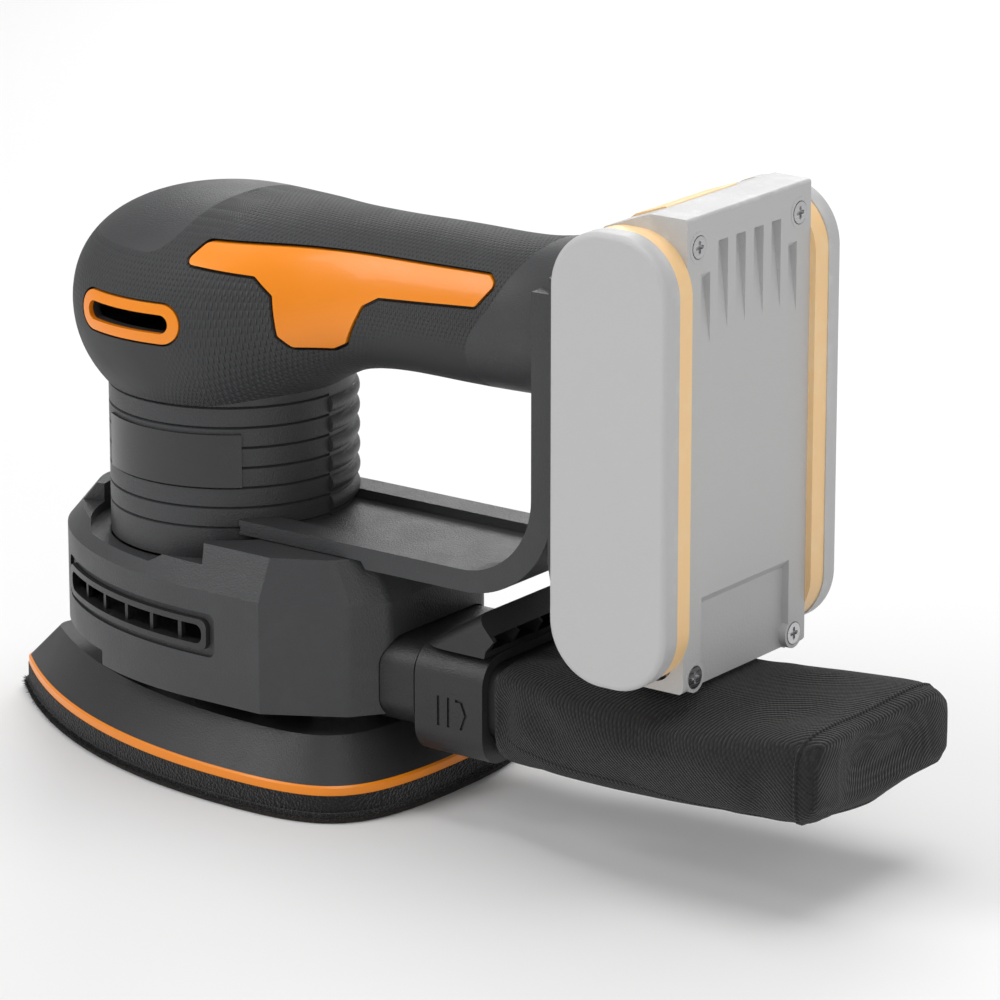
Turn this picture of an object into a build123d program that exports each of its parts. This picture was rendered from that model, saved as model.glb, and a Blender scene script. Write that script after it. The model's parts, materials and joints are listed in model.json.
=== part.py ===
"""Cordless orbital (detail) sander, in millimetres.

Frame: +Z up, origin on the motor axis at the abrasive sheet's working face. +X points to the battery and
dust bag, -X to the nose. The left half of the tool is on -Y, the right half on +Y.
"""
from build123d import *
from math import cos, radians, sin
import os

os.makedirs("parts", exist_ok=True)

# ---- driving dimensions -----------------------------------------------------------------------------
gap = 0.3                 # assembly clearance between pieces that only sit together
running = 0.05            # radial clearance of a running fit
wall = 2.4                # moulded housing wall
skin = 1.5                # rubber overmould thickness
orbit = 1.0               # eccentric offset: half of the 2 mm orbit

# pad, measured at the trim ring's outside
pad_nose_x, pad_rear_x, pad_half_w, pad_widest_x, tip_r = -72.0, 74.1, 45.5, 38.0, 5.0
sheet_t, hook_t, foam_t, ring_t = 1.2, 1.3, 4.5, 2.5
skirt_top_z, skirt_inset, skirt_wall = 20.0, 9.0, 2.5
leg_r, leg_x_front, leg_x_rear, leg_y = 4.0, -20.0, 36.0, 21.0

# base housing
base_nose_x, base_rear_x, base_half_w = -53.0, 68.0, 41.0
base_bottom_z, base_front_bottom_z, base_shoulder_z, base_top_z = 25.0, 29.0, 55.0, 66.0
recess_r, recess_floor_z, recess_rim_z = 38.0, 58.5, 61.0
vent_z, vent_h, vent_x0, vent_x1 = 43.0, 8.4, -38.0, 24.0

# barrel, head and handle
barrel_r, barrel_bottom_z, head_bottom_z = 32.6, 59.0, 103.5
head_r, head_z, head_rise, head_drop = 41.5, 122.0, 29.0, 35.0
grip_r, grip_x, rim_x = 20.0, 104.0, 120.0
cap_seam_x, cap_seam_z = 6.5, 140.5

# D-shaped guard
guard_half_w, guard_top_z, guard_t, post_x0, post_t = 25.0, 70.1, 5.8, 116.0, 6.7
guard_corner_r = 22.0

# drive line
shaft_r, pin_r, neck_r = 1.6, 4.0, 4.0
bearing_r, bearing_h = 11.0, 7.0
motor_r, motor_z0, motor_z1 = 18.0, 61.0, 118.0
fan_r, fan_z0, fan_z1 = 28.0, 45.0, 56.0

# dust duct, collar and bag
duct_half_w, duct_z0, duct_z1, duct_x0, duct_x1 = 22.5, 22.5, 45.0, 60.0, 77.0
duct_wall, spigot_x1 = 2.2, 90.0
collar_half_w, collar_z0, collar_z1, collar_x1 = 24.0, 17.0, 46.5, 100.0
bag_x1, bag_half_w, bag_wall = 206.0, 33.0, 1.4

# battery
pack_x0, pack_x1, pack_z0, pack_z1 = 131.0, 166.0, 52.4, 168.1
pack_half_w, band_out_y, band_in_y, pack_corner = 38.5, 32.7, 27.0, 15.5
pack_wall = 2.2
cell_r, cell_len, cell_count = 9.1, 65.0, 5
rail_half_w, rail_flange, rail_z0 = 17.5, 3.5, 76.0
receiver_half_w, receiver_z0, receiver_z1 = 27.0, 61.0, 151.0


def keep(builder, name):
    """Label a finished piece and write its STEP file."""
    builder.part.label = name
    export_step(builder.part, f"parts/{name}.step")


def side_plane(x, z=0.0):
    """A plane across the tool at x: local x is +Y, local y is +Z, normal +X."""
    return Plane(origin=(x, 0, z), x_dir=(0, 1, 0), z_dir=(1, 0, 0))


def across(x, z, y, towards):
    """A side-view plane centred on x, z, at y, with local x +X for -Y normals; towards is -1 or 1."""
    return Plane(origin=(x, y, z), x_dir=(1, 0, 0), z_dir=(0, towards, 0))


# ---- plan outlines ----------------------------------------------------------------------------------
def pad_outline(z, grow=0.0):
    """The pad's iron shape at height z, grown evenly by grow."""
    nose = pad_nose_x - 1.3 * grow
    rear, half = pad_rear_x + grow, pad_half_w + grow
    tip_x, tip_y = nose + tip_r * 0.3, tip_r * 0.72
    flank = (pad_widest_x - nose) * 0.43
    bulge = 0.78 * (rear - pad_widest_x)
    with BuildSketch(Plane.XY.offset(z)) as outline:
        with BuildLine():
            ThreePointArc((tip_x, tip_y), (nose, 0), (tip_x, -tip_y))
            for side in (-1, 1):
                Bezier((tip_x, side * tip_y), (tip_x + flank, side * half), (pad_widest_x, side * half))
                Bezier((pad_widest_x, side * half), (pad_widest_x + bulge, side * half),
                       (rear, side * 0.84 * half), (rear, 0))
        make_face()
    return outline.sketch


def base_outline(z, nose, rear, half, step):
    """The base housing's plan: rounded nose, straight flank, crease, cornered rear."""
    with BuildSketch(Plane.XY.offset(z)) as outline:
        with BuildLine():
            Bezier((nose, 0), (nose, -0.3 * half), (0.51 * nose + 1, -half - 0.5), (20, -half))
            Line((20, -half), (41, -half))
            FilletPolyline((41, -half), (rear - 7, step - half), (rear, step - half + 9.5), (rear, 0), radius=5)
            mirror(about=Plane.XZ)
        make_face()
    return outline.sketch


def base_low(z, grow=0.0):
    return base_outline(z, base_nose_x - grow, base_rear_x + grow, base_half_w + grow, 11.5)


def base_high(z, grow=0.0):
    return base_outline(z, base_nose_x + 10 - grow, base_rear_x - 6 + grow, base_half_w - 5 + grow, 7.5)


# ---- head and handle form ---------------------------------------------------------------------------
head_sections = (            # x, half width, widest height, rise above it, drop below it
    (0, head_r, head_z, head_rise, head_drop),
    (8, head_r - 0.7, head_z, head_rise, head_drop - 1),
    (16, head_r - 2.6, head_z, head_rise, head_drop - 4),
    (26, head_r - 6.9, head_z + 0.5, head_rise - 0.3, head_drop - 10.5),
    (36, head_r - 12.9, head_z + 2, head_rise - 1.6, head_drop - 15.5),
    (46, head_r - 17.5, head_z + 5, head_rise - 4.4, head_drop - 17.4),
    (58, head_r - 20.5, head_z + 8, head_rise - 7.2, head_drop - 16.8),
    (74, grip_r + 0.2, head_z + 9.6, grip_r + 0.5, grip_r - 0.6),
    (grip_x, grip_r, head_z + 10.5, grip_r + 0.4, grip_r),
    (grip_x + 8, grip_r + 1.8, head_z + 11, grip_r + 1.4, grip_r + 0.4),
    (rim_x, guard_half_w, head_z + 13, grip_r + 2, grip_r + 3.5),
)
upper_fullness, lower_fullness = 0.64, 0.56     # 0.5523 is a true ellipse; more is squarer


def oval_section(x, z, a, up, down):
    """An egg-shaped section across the tool, of four quarters that meet at its widest points."""
    fu, fd = upper_fullness, lower_fullness
    with BuildSketch(side_plane(x, z)) as section:
        with BuildLine():
            Bezier((a, 0), (a, up * fu), (a * fu, up), (0, up))
            Bezier((0, up), (-a * fu, up), (-a, up * fu), (-a, 0))
            Bezier((-a, 0), (-a, -down * fd), (-a * fd, -down), (0, -down))
            Bezier((0, -down), (a * fd, -down), (a, -down * fd), (a, 0))
        make_face()
    return section.sketch


def head_form(inset):
    """Head, handle and rear flare as one solid, its surface moved inwards by inset."""
    a, up, down = head_r - inset, head_rise - inset, head_drop - inset
    with BuildPart() as form:
        loft(sections=[oval_section(x, z, aa - inset, u - inset, d - inset) for x, aa, z, u, d in head_sections])
        with BuildSketch(side_plane(0, head_z)):
            with BuildLine():
                Bezier((a, 0), (a, up * upper_fullness), (a * upper_fullness, up), (0, up))
                Line((0, up), (0, -down))
                Bezier((0, -down), (a * lower_fullness, -down), (a, -down * lower_fullness), (a, 0))
            make_face()
        revolve(axis=Axis.Z, revolution_arc=180)
    return form.part


def side_prism(outline, y0, y1):
    """A side-view outline (local x is +X, local y is +Z) swept from y0 down to y1."""
    with BuildPart() as prism:
        with BuildSketch(across(0, 0, y0, -1)):
            add(outline)
        extrude(amount=y0 - y1)
    return prism.part


def half(solid, side):
    """The part of a solid on one side of the tool: side is -1 for left, 1 for right."""
    with BuildPart() as piece:
        add(solid)
        split(bisect_by=Plane.XZ, keep=Keep.TOP if side < 0 else Keep.BOTTOM)
    return piece.part


form_outer = head_form(0)
form_core = head_form(skin)                 # under the rubber
form_inner = head_form(skin + wall)         # the hollow

# ---- regions of the head's skin, drawn in side view --------------------------------------------------
with BuildSketch() as cap_sketch:
    with BuildLine():
        FilletPolyline((cap_seam_x, 170), (cap_seam_x, cap_seam_z), (-60, cap_seam_z), radius=7)
        Polyline((-60, cap_seam_z), (-60, 170), (cap_seam_x, 170))
    make_face()
cap_zone = side_prism(cap_sketch.sketch, 60, -60)

with BuildSketch() as grip_sketch:
    with BuildLine():
        seam = Spline((113, 160), (105, 149), (98.5, 138), (91, 126.5), (90.5, 119), (97, 108))
        Polyline(seam @ 1, (97, head_bottom_z - 3), (-60, head_bottom_z - 3), (-60, 160), (113, 160))
    make_face()
grip_zone = side_prism(grip_sketch.sketch, 60, -60)

inlay_corners = ((12.5, 139.4), (15.5, 144.2), (96.5, 145.2), (99, 143.4), (94, 137.4), (64.5, 135.4),
                 (59.5, 132.6), (53.5, 121.6), (50, 119.8), (40.5, 119.6), (37.6, 122.6), (36, 133), (31, 137.6))
with BuildSketch() as inlay_sketch:
    Polygon(*inlay_corners, align=None)
    fillet(inlay_sketch.vertices(), radius=1.3)
inlay_outline = inlay_sketch.sketch
inlay_pocket = offset(inlay_outline, amount=0.8, kind=Kind.ARC)

ring_l, ring_h, ring_x, ring_z, slot_l, slot_h = 34.0, 10.4, -2.6, 123.9, 28.0, 5.0
with BuildSketch() as ring_sketch:
    with Locations((ring_x, ring_z)):
        SlotOverall(ring_l, ring_h)
        SlotOverall(slot_l, slot_h, mode=Mode.SUBTRACT)
with BuildSketch() as slot_sketch:
    with Locations((ring_x, ring_z)):
        SlotOverall(slot_l, slot_h)
with BuildSketch() as ring_pocket_sketch:
    with Locations((ring_x, ring_z)):
        SlotOverall(ring_l + 1.2, ring_h + 1.2)



def head_skin(outline, depth, y0, y1):
    """A patch of the head's skin: the form inside a side-view outline, from y0 to y1, down to a depth."""
    with BuildPart() as patch:
        add(form_outer)
        add(side_prism(outline, y1, y0), mode=Mode.INTERSECT)
        add(depth, mode=Mode.SUBTRACT)
    return patch.part


# ---- switch window on the right side -----------------------------------------------------------------
switch_x, switch_surface_y, switch_z, switch_turn = 29.0, 33.0, 125.0, 27.0
switch_l, switch_h, switch_travel = 22.0, 12.0, 5.0


def switch_plane(lift, along=0.0):
    """A plane parallel to the head's skin at the switch, lift mm outside it and shifted along the slide."""
    a = radians(switch_turn)
    return Plane(origin=(switch_x + lift * sin(a) + along * cos(a),
                         switch_surface_y + lift * cos(a) - along * sin(a), switch_z),
                 x_dir=(cos(a), -sin(a), 0), z_dir=(sin(a), cos(a), 0))


with BuildPart() as window_block:
    with BuildSketch(switch_plane(-6.0)):
        RectangleRounded(switch_l, switch_h, 3)
    extrude(amount=20)
window = window_block.part

# ---- guard -------------------------------------------------------------------------------------------
post_x1 = post_x0 + post_t
guard_z0 = guard_top_z - guard_t
flange_x0, flange_x1, flange_z0 = 22.0, 62.0, base_top_z + gap
dish_depth, dish_half_w = 2.5, 16.5
guard_z1 = head_z + 24


def hand_space(grow, y0, y1):
    """The room inside the guard: right of the barrel, its lower rear corner rounded."""
    with BuildSketch() as space:
        with BuildLine():
            FilletPolyline((flange_x0 - 9, guard_top_z - grow), (post_x0 + grow, guard_top_z - grow),
                           (post_x0 + grow, guard_z1 + 9), radius=guard_corner_r)
            Polyline((post_x0 + grow, guard_z1 + 9), (flange_x0 - 9, guard_z1 + 9),
                     (flange_x0 - 9, guard_top_z - grow))
        make_face()
    return side_prism(space.sketch, y1, y0)


with BuildSketch() as guard_sketch:
    with BuildLine():
        Line((flange_x0, guard_top_z), (flange_x0, flange_z0))
        Polyline((flange_x0, flange_z0), (flange_x1, flange_z0), (flange_x1 + 1.5, guard_z0))
        FilletPolyline((flange_x1 + 1.5, guard_z0), (post_x1, guard_z0), (post_x1, guard_z1),
                       radius=guard_corner_r + guard_t)
        Polyline((post_x1, guard_z1), (flange_x0, guard_z1), (flange_x0, guard_top_z))
    make_face()
guard = side_prism(guard_sketch.sketch, guard_half_w, -guard_half_w) - hand_space(0, -30, 30)
guard -= hand_space(dish_depth, -dish_half_w, dish_half_w)

# ---- housing halves, grips, cap, inlays, vent rings --------------------------------------------------
boss_r, pilot_r, clear_r, screw_head_r = 3.6, 1.4, 1.8, 3.0
housing_screw_seats = ((-29.0, 113.0, 22.0), (66.0, 121.0, 13.0), (99.0, 121.0, 12.0), (27.0, 110.0, 20.5))
motor_rib_zs = (63.0, 98.0)
rib_pitch, groove_w, groove_d, rib_bulge = 5.4, 0.9, 0.7, 1.2
rib_zs = [head_bottom_z - 3.4 - rib_pitch * n for n in range(7)]
sides = ((-1, "left", -60, 0), (1, "right", 0, 60))
form_cap_seat = head_form(skin + 0.6)

with BuildPart() as hollow:
    add(split(form_inner, bisect_by=Plane.YZ.offset(rim_x - 8), keep=Keep.BOTTOM))
    with BuildSketch(Plane.XY.offset(barrel_bottom_z - 1)):
        Circle(barrel_r - wall)
    extrude(amount=head_z - barrel_bottom_z)
    with BuildSketch(side_plane(rim_x - 12, 133)):
        RectangleRounded(16, 18, 3)
    extrude(amount=post_x1 - rim_x + 13)


with BuildPart() as housing:
    add(form_outer)
    with BuildSketch(Plane.XY.offset(barrel_bottom_z)):
        Circle(barrel_r)
    extrude(amount=head_z - barrel_bottom_z)
    add(guard)
    add(hollow.part, mode=Mode.SUBTRACT)
    for rib_z in motor_rib_zs:
        with BuildSketch(Plane.XY.offset(rib_z)):
            Circle(barrel_r - wall / 2)
            Circle(motor_r + 0.1, mode=Mode.SUBTRACT)
        extrude(amount=2.0)
    for x, z, seat in housing_screw_seats:
        with BuildSketch(across(x, z, 0, 1)):
            Circle(boss_r)
        extrude(amount=seat + 0.8, both=True)
    add(window, mode=Mode.SUBTRACT)
    add(side_prism(slot_sketch.sketch, 60, -60), mode=Mode.SUBTRACT)


def screw_cuts(radius, head):
    """The holes for the housing screws, with their head recesses on the right side."""
    with BuildPart() as cuts:
        for x, z, seat in housing_screw_seats:
            with BuildSketch(across(x, z, -14, 1)):
                Circle(radius)
            extrude(amount=14 + seat)
            if head:
                with BuildSketch(across(x, z, seat, 1)):
                    Circle(screw_head_r + gap)
                extrude(amount=40)
    return cuts.part


def barrel_ribs(side):
    """Rings round one half of the barrel: grooves between flat bands on the left, ribs on the right."""
    with BuildPart() as rings:
        for z in rib_zs:
            with BuildSketch(across(0, 0, 0, -1)):
                with BuildLine():
                    if side < 0:
                        Polyline((barrel_r - groove_d, z), (barrel_r + 1, z - groove_w),
                                 (barrel_r + 1, z + groove_w), close=True)
                    else:
                        crest = ThreePointArc((barrel_r - 0.4, z - 0.3), (barrel_r + rib_bulge, z - rib_pitch / 2),
                                              (barrel_r - 0.4, z - rib_pitch + 0.3))
                        Line(crest @ 1, crest @ 0)
                make_face()
            revolve(axis=Axis.Z, revolution_arc=180 * side)
    return rings.part


rubber = head_skin(grip_sketch.sketch, form_core, -60, 60)
cap_skin = head_skin(cap_sketch.sketch, form_cap_seat, -60, 60)

for side, name, y0, y1 in sides:
    with BuildPart() as housing_half:
        add(half(housing.part, side))
        add(half(rubber, side), mode=Mode.SUBTRACT)
        add(half(cap_skin, side), mode=Mode.SUBTRACT)
        if side < 0:
            add(screw_cuts(pilot_r, False), mode=Mode.SUBTRACT)
            add(barrel_ribs(side), mode=Mode.SUBTRACT)
        else:
            add(screw_cuts(clear_r, True), mode=Mode.SUBTRACT)
            add(barrel_ribs(side))
    keep(housing_half, f"housing_{name}")

    with BuildPart() as grip:
        add(half(rubber, side))
        add(cap_zone, mode=Mode.SUBTRACT)
        add(side_prism(ring_pocket_sketch.sketch, y1, y0), mode=Mode.SUBTRACT)
        add(side_prism(inlay_pocket, y1, y0), mode=Mode.SUBTRACT)
        if side > 0:
            add(window, mode=Mode.SUBTRACT)
            add(screw_cuts(clear_r, True), mode=Mode.SUBTRACT)
    keep(grip, f"grip_{name}")

    with BuildPart() as inlay:
        add(head_skin(inlay_outline, form_core, y0, y1))
        if side > 0:
            add(window, mode=Mode.SUBTRACT)
            add(screw_cuts(clear_r, True), mode=Mode.SUBTRACT)
    keep(inlay, f"side_inlay_{name}")

    with BuildPart() as vent_ring:
        add(head_skin(ring_sketch.sketch, form_core, y0, y1))
    keep(vent_ring, f"vent_ring_{name}")

with BuildPart() as head_cap:
    add(cap_skin)
keep(head_cap, "head_cap")

with BuildPart() as housing_screws:
    for x, z, seat in housing_screw_seats:
        with BuildSketch(across(x, z, seat, 1)):
            Circle(screw_head_r)
        extrude(amount=2.2)
        with BuildSketch(across(x, z, seat, -1)):
            Circle(pilot_r)
        extrude(amount=seat + 10)
keep(housing_screws, "housing_screws")

badge_z0, badge_z1, badge_from, badge_to, badge_t = 78.8, 93.0, -124.0, -47.0, 0.7
with BuildPart() as badge:
    start = (cos(radians(badge_from)), sin(radians(badge_from)), 0)
    with BuildSketch(Plane(origin=(0, 0, 0), x_dir=start, z_dir=(start[1], -start[0], 0))):
        with Locations((barrel_r + badge_t / 2, (badge_z0 + badge_z1) / 2)):
            Rectangle(badge_t, badge_z1 - badge_z0)
    revolve(axis=Axis.Z, revolution_arc=badge_to - badge_from)
keep(badge, "badge")

# ---- switch ------------------------------------------------------------------------------------------
bezel_t, bezel_lift, knob_l, knob_h = 2.0, -4.2, 10.0, 8.0
stem_l, stem_h = 4.0, 3.0
with BuildPart() as switch_bezel:
    with BuildSketch(switch_plane(bezel_lift)):
        RectangleRounded(switch_l - 2 * gap, switch_h - 2 * gap, 3 - gap)
        Rectangle(stem_l + switch_travel + 2 * gap, stem_h + 2 * gap, mode=Mode.SUBTRACT)
    extrude(amount=bezel_t)
keep(switch_bezel, "switch_bezel")

rest = -switch_travel / 2
with BuildPart() as switch_button:
    with BuildSketch(switch_plane(bezel_lift + bezel_t + gap, rest)):
        RectangleRounded(knob_l, knob_h, 2)
    extrude(amount=2.6)
    with BuildSketch(switch_plane(bezel_lift + bezel_t + gap + 2.6, rest)):
        with GridLocations(2.2, 0, 4, 1):
            Rectangle(0.9, knob_h - 2)
    extrude(amount=0.7)
    with BuildSketch(switch_plane(bezel_lift - 3.0, rest)):
        Rectangle(stem_l, stem_h)
    extrude(amount=3.0 + bezel_t + gap + 0.5)
keep(switch_button, "switch_button")

with BuildPart() as switch_body:
    with BuildSketch(switch_plane(bezel_lift - 10.0)):
        Rectangle(16, 9)
    extrude(amount=6.5)
    with BuildSketch(switch_plane(bezel_lift - 13.0)):
        with GridLocations(7, 0, 2, 1):
            Rectangle(1, 5)
    extrude(amount=3)
keep(switch_body, "switch_body")

board_x0, board_x1, board_z, board_w, board_t = 46.0, 96.0, 133.0, 24.0, 1.6
with BuildPart() as control_board:
    with BuildSketch(Plane.XY.offset(board_z)):
        with Locations(((board_x0 + board_x1) / 2, 0)):
            Rectangle(board_x1 - board_x0, board_w)
    extrude(amount=board_t)
    with BuildSketch(Plane.XY.offset(board_z + board_t)):
        with Locations((board_x0 + 12, 0)):
            Rectangle(12, 14)
        with Locations((board_x1 - 10, 5)):
            Circle(4)
        with Locations((board_x1 - 22, -5)):
            Rectangle(8, 5)
    extrude(amount=5)
keep(control_board, "control_board")

# ---- motor and drive line ----------------------------------------------------------------------------
def disc(z0, z1, r, hole=0.0, at=(0, 0)):
    """A disc or ring about a vertical axis, as a solid to add or subtract."""
    with BuildPart() as solid:
        with BuildSketch(Plane.XY.offset(z0)):
            with Locations(at):
                Circle(r)
                if hole:
                    Circle(hole, mode=Mode.SUBTRACT)
        extrude(amount=z1 - z0)
    return solid.part


can_t, brush_z, core_z0, core_z1, core_r = 1.2, 109.0, 71.0, 99.0, 13.2
motor_bearing_r, motor_bearing_h = 5.0, 3.0
with BuildPart() as motor_can:
    add(disc(motor_z0, motor_z1, motor_r, motor_r - can_t))
    add(disc(motor_z0, motor_z0 + can_t, motor_r - can_t, motor_bearing_r + 1.2))
    add(disc(motor_z0, motor_z0 + motor_bearing_h + 1, motor_bearing_r + 1.2, motor_bearing_r + 0.02))
    add(disc(motor_z0 + motor_bearing_h, motor_z0 + motor_bearing_h + 1, motor_bearing_r + 0.1, shaft_r + 1))
keep(motor_can, "motor_can")

with BuildPart() as motor_magnets:
    for angle in (0, 180):
        with BuildSketch(Plane.XY.offset(core_z0 - 3)):
            Circle(motor_r - can_t - 0.02)
            Circle(core_r + 0.6, mode=Mode.SUBTRACT)
            with Locations((0, 0)):
                Rectangle(13, 60, mode=Mode.SUBTRACT)
        extrude(amount=core_z1 - core_z0 + 6)
keep(motor_magnets, "motor_magnets")

with BuildPart() as brush_end:
    add(disc(motor_z1, motor_z1 + 2.5, motor_r, motor_bearing_r + 1.5))
    add(disc(motor_z1, motor_z1 + motor_bearing_h + 1.5, motor_bearing_r + 1.5, motor_bearing_r + 0.02))
    add(disc(motor_z1 + motor_bearing_h, motor_z1 + motor_bearing_h + 1.5, motor_bearing_r + 0.1, shaft_r + 1))
    for x in (-11.5, 11.5):
        with BuildSketch(Plane.XY.offset(brush_z - 2.2)):
            with Locations((x, 0)):
                Rectangle(9, 8)
                Rectangle(12, 4.4, mode=Mode.SUBTRACT)
        extrude(amount=motor_z1 - brush_z + 2.2)
keep(brush_end, "brush_end")

with BuildPart() as carbon_brushes:
    for x in (-10.6, 10.6):
        with BuildSketch(Plane.XY.offset(brush_z - 2)):
            with Locations((x, 0)):
                Rectangle(9.6, 4.2)
        extrude(amount=4)
keep(carbon_brushes, "carbon_brushes")

with BuildPart() as motor_bearings:
    add(disc(motor_z0, motor_z0 + motor_bearing_h - 0.05, motor_bearing_r, shaft_r + running))
    add(disc(motor_z1, motor_z1 + motor_bearing_h - 0.05, motor_bearing_r, shaft_r + running))
keep(motor_bearings, "motor_bearings")

shaft_z0, shaft_z1 = 27.0, motor_z1 + motor_bearing_h
with BuildPart() as motor_shaft:
    with BuildSketch(Plane.XY.offset(shaft_z0)):
        Circle(shaft_r)
    extrude(amount=shaft_z1 - shaft_z0)
    chamfer(motor_shaft.edges().filter_by(GeomType.CIRCLE), length=0.3)
keep(motor_shaft, "motor_shaft")

slots = 12
with BuildPart() as armature:
    with BuildSketch(Plane.XY.offset(core_z0)):
        Circle(core_r)
        Circle(shaft_r + 0.02, mode=Mode.SUBTRACT)
        with PolarLocations(9.6, slots):
            SlotOverall(5.2, 2.4, mode=Mode.SUBTRACT)
        with PolarLocations(core_r - 0.6, slots):
            Rectangle(2.4, 0.9, mode=Mode.SUBTRACT)
    extrude(amount=core_z1 - core_z0)
keep(armature, "armature")

with BuildPart() as windings:
    for z0, z1 in ((core_z0 - 4.5, core_z0), (core_z1, core_z1 + 4.5)):
        with BuildSketch(Plane.XY.offset(z0)):
            Circle(core_r - 1.2)
            Circle(shaft_r + 1.4, mode=Mode.SUBTRACT)
        extrude(amount=z1 - z0)
    with BuildSketch(Plane.XY.offset(core_z0)):
        with PolarLocations(9.6, slots):
            SlotOverall(5.0, 2.2)
    extrude(amount=core_z1 - core_z0)
keep(windings, "windings")

with BuildPart() as commutator:
    with BuildSketch(Plane.XY.offset(core_z1 + 5)):
        Circle(5.7)
        Circle(shaft_r + 0.02, mode=Mode.SUBTRACT)
        with PolarLocations(5.7, slots):
            Rectangle(1.0, 0.4, mode=Mode.SUBTRACT)
    extrude(amount=9)
keep(commutator, "commutator")

blades = 11
with BuildPart() as fan:
    add(disc(fan_z1 - 1.4, fan_z1, fan_r, shaft_r + 0.02))
    add(disc(fan_z0, fan_z1, 6.0, shaft_r + 0.02))
    with BuildSketch(Plane.XY.offset(fan_z0 + 1)):
        with PolarLocations(18.5, blades):
            Rectangle(17, 1.4, rotation=24)
    extrude(amount=fan_z1 - fan_z0 - 1.5)
keep(fan, "fan")

# ---- eccentric, bearings, pad ------------------------------------------------------------------------
pad_top_z = sheet_t + hook_t + foam_t            # the foam's top, where the plate starts
pad_bearing_z0 = 12.5
pad_bearing_z1 = pad_bearing_z0 + bearing_h
plate_z0, plate_t = 35.0, 2.6
lower_bearing_z0 = 34.8
weight_r, weight_z0, weight_z1 = 17.5, 25.6, 32.5

with BuildPart() as eccentric:
    add(disc(pad_bearing_z0 - 0.1, 24.5, pin_r - running, at=(orbit, 0)))
    add(disc(24.5, 33.6, 8.5))
    add(disc(33.6, 43.4, neck_r - running))
    with BuildSketch(Plane.XY.offset(weight_z0)):
        Circle(weight_r)
        with Locations((weight_r / 2 + 1, 0)):
            Rectangle(weight_r + 4, 3 * weight_r, mode=Mode.SUBTRACT)
    extrude(amount=weight_z1 - weight_z0)
    add(disc(shaft_z0 - 1, 50, shaft_r + 0.02), mode=Mode.SUBTRACT)
    add(disc(10, 20, 1.62, at=(orbit, 0)), mode=Mode.SUBTRACT)
keep(eccentric, "eccentric")

with BuildPart() as pad_screw:
    add(disc(10.4, 10.5 + 1.6, 3.6, at=(orbit, 0)))
    add(disc(12.1, pad_bearing_z0 - 0.15, 5.4, at=(orbit, 0)))
    add(disc(12.0, 19.5, 1.6, at=(orbit, 0)))
    with BuildSketch(Plane.XY.offset(10.4)):
        with Locations((orbit, 0)):
            RegularPolygon(1.7, 6)
    extrude(amount=1.0, mode=Mode.SUBTRACT)
keep(pad_screw, "pad_screw")

with BuildPart() as pad_bearing:
    add(disc(pad_bearing_z0, pad_bearing_z1, bearing_r, pin_r, at=(orbit, 0)))
    for z in (pad_bearing_z0, pad_bearing_z1 - 0.5):
        add(disc(z, z + 0.5, 8.9, 6.1, at=(orbit, 0)), mode=Mode.SUBTRACT)
keep(pad_bearing, "pad_bearing")

with BuildPart() as lower_bearing:
    add(disc(lower_bearing_z0, lower_bearing_z0 + bearing_h, bearing_r, neck_r))
    for z in (lower_bearing_z0, lower_bearing_z0 + bearing_h - 0.5):
        add(disc(z, z + 0.5, 8.9, 6.1), mode=Mode.SUBTRACT)
keep(lower_bearing, "lower_bearing")

dust_spots = [(x, y) for x in (-34, -6, 22, 48) for y in (-1, 1)]
dust_holes = [(x, y * (9 + 0.32 * (x + 40))) if x < 40 else (x, y * 31) for x, y in dust_spots]
dust_hole_r = 3.2


def pad_layer(z0, z1, grow):
    """One layer of the pad's stack with its dust holes."""
    with BuildPart() as layer:
        add(pad_outline(z0, grow))
        extrude(amount=z1 - z0)
        with BuildSketch(Plane.XY.offset(z0)):
            with Locations(*dust_holes):
                Circle(dust_hole_r)
        extrude(amount=z1 - z0, mode=Mode.SUBTRACT)
    return layer


keep(pad_layer(0, sheet_t, 1.0), "sanding_sheet")
keep(pad_layer(sheet_t, sheet_t + hook_t, 0.8), "hook_layer")
keep(pad_layer(sheet_t + hook_t, pad_top_z, 0.2), "foam_pad")

ring_w = 3.0
skirt_z0 = pad_top_z + ring_t
with BuildPart() as trim_ring:
    add(pad_outline(pad_top_z))
    extrude(amount=ring_t - 0.5)
    loft(sections=[pad_outline(pad_top_z + ring_t - 0.5), pad_outline(pad_top_z + ring_t, -0.5)])
    add(pad_outline(pad_top_z, -ring_w))
    extrude(amount=ring_t, mode=Mode.SUBTRACT)
keep(trim_ring, "trim_ring")

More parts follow.
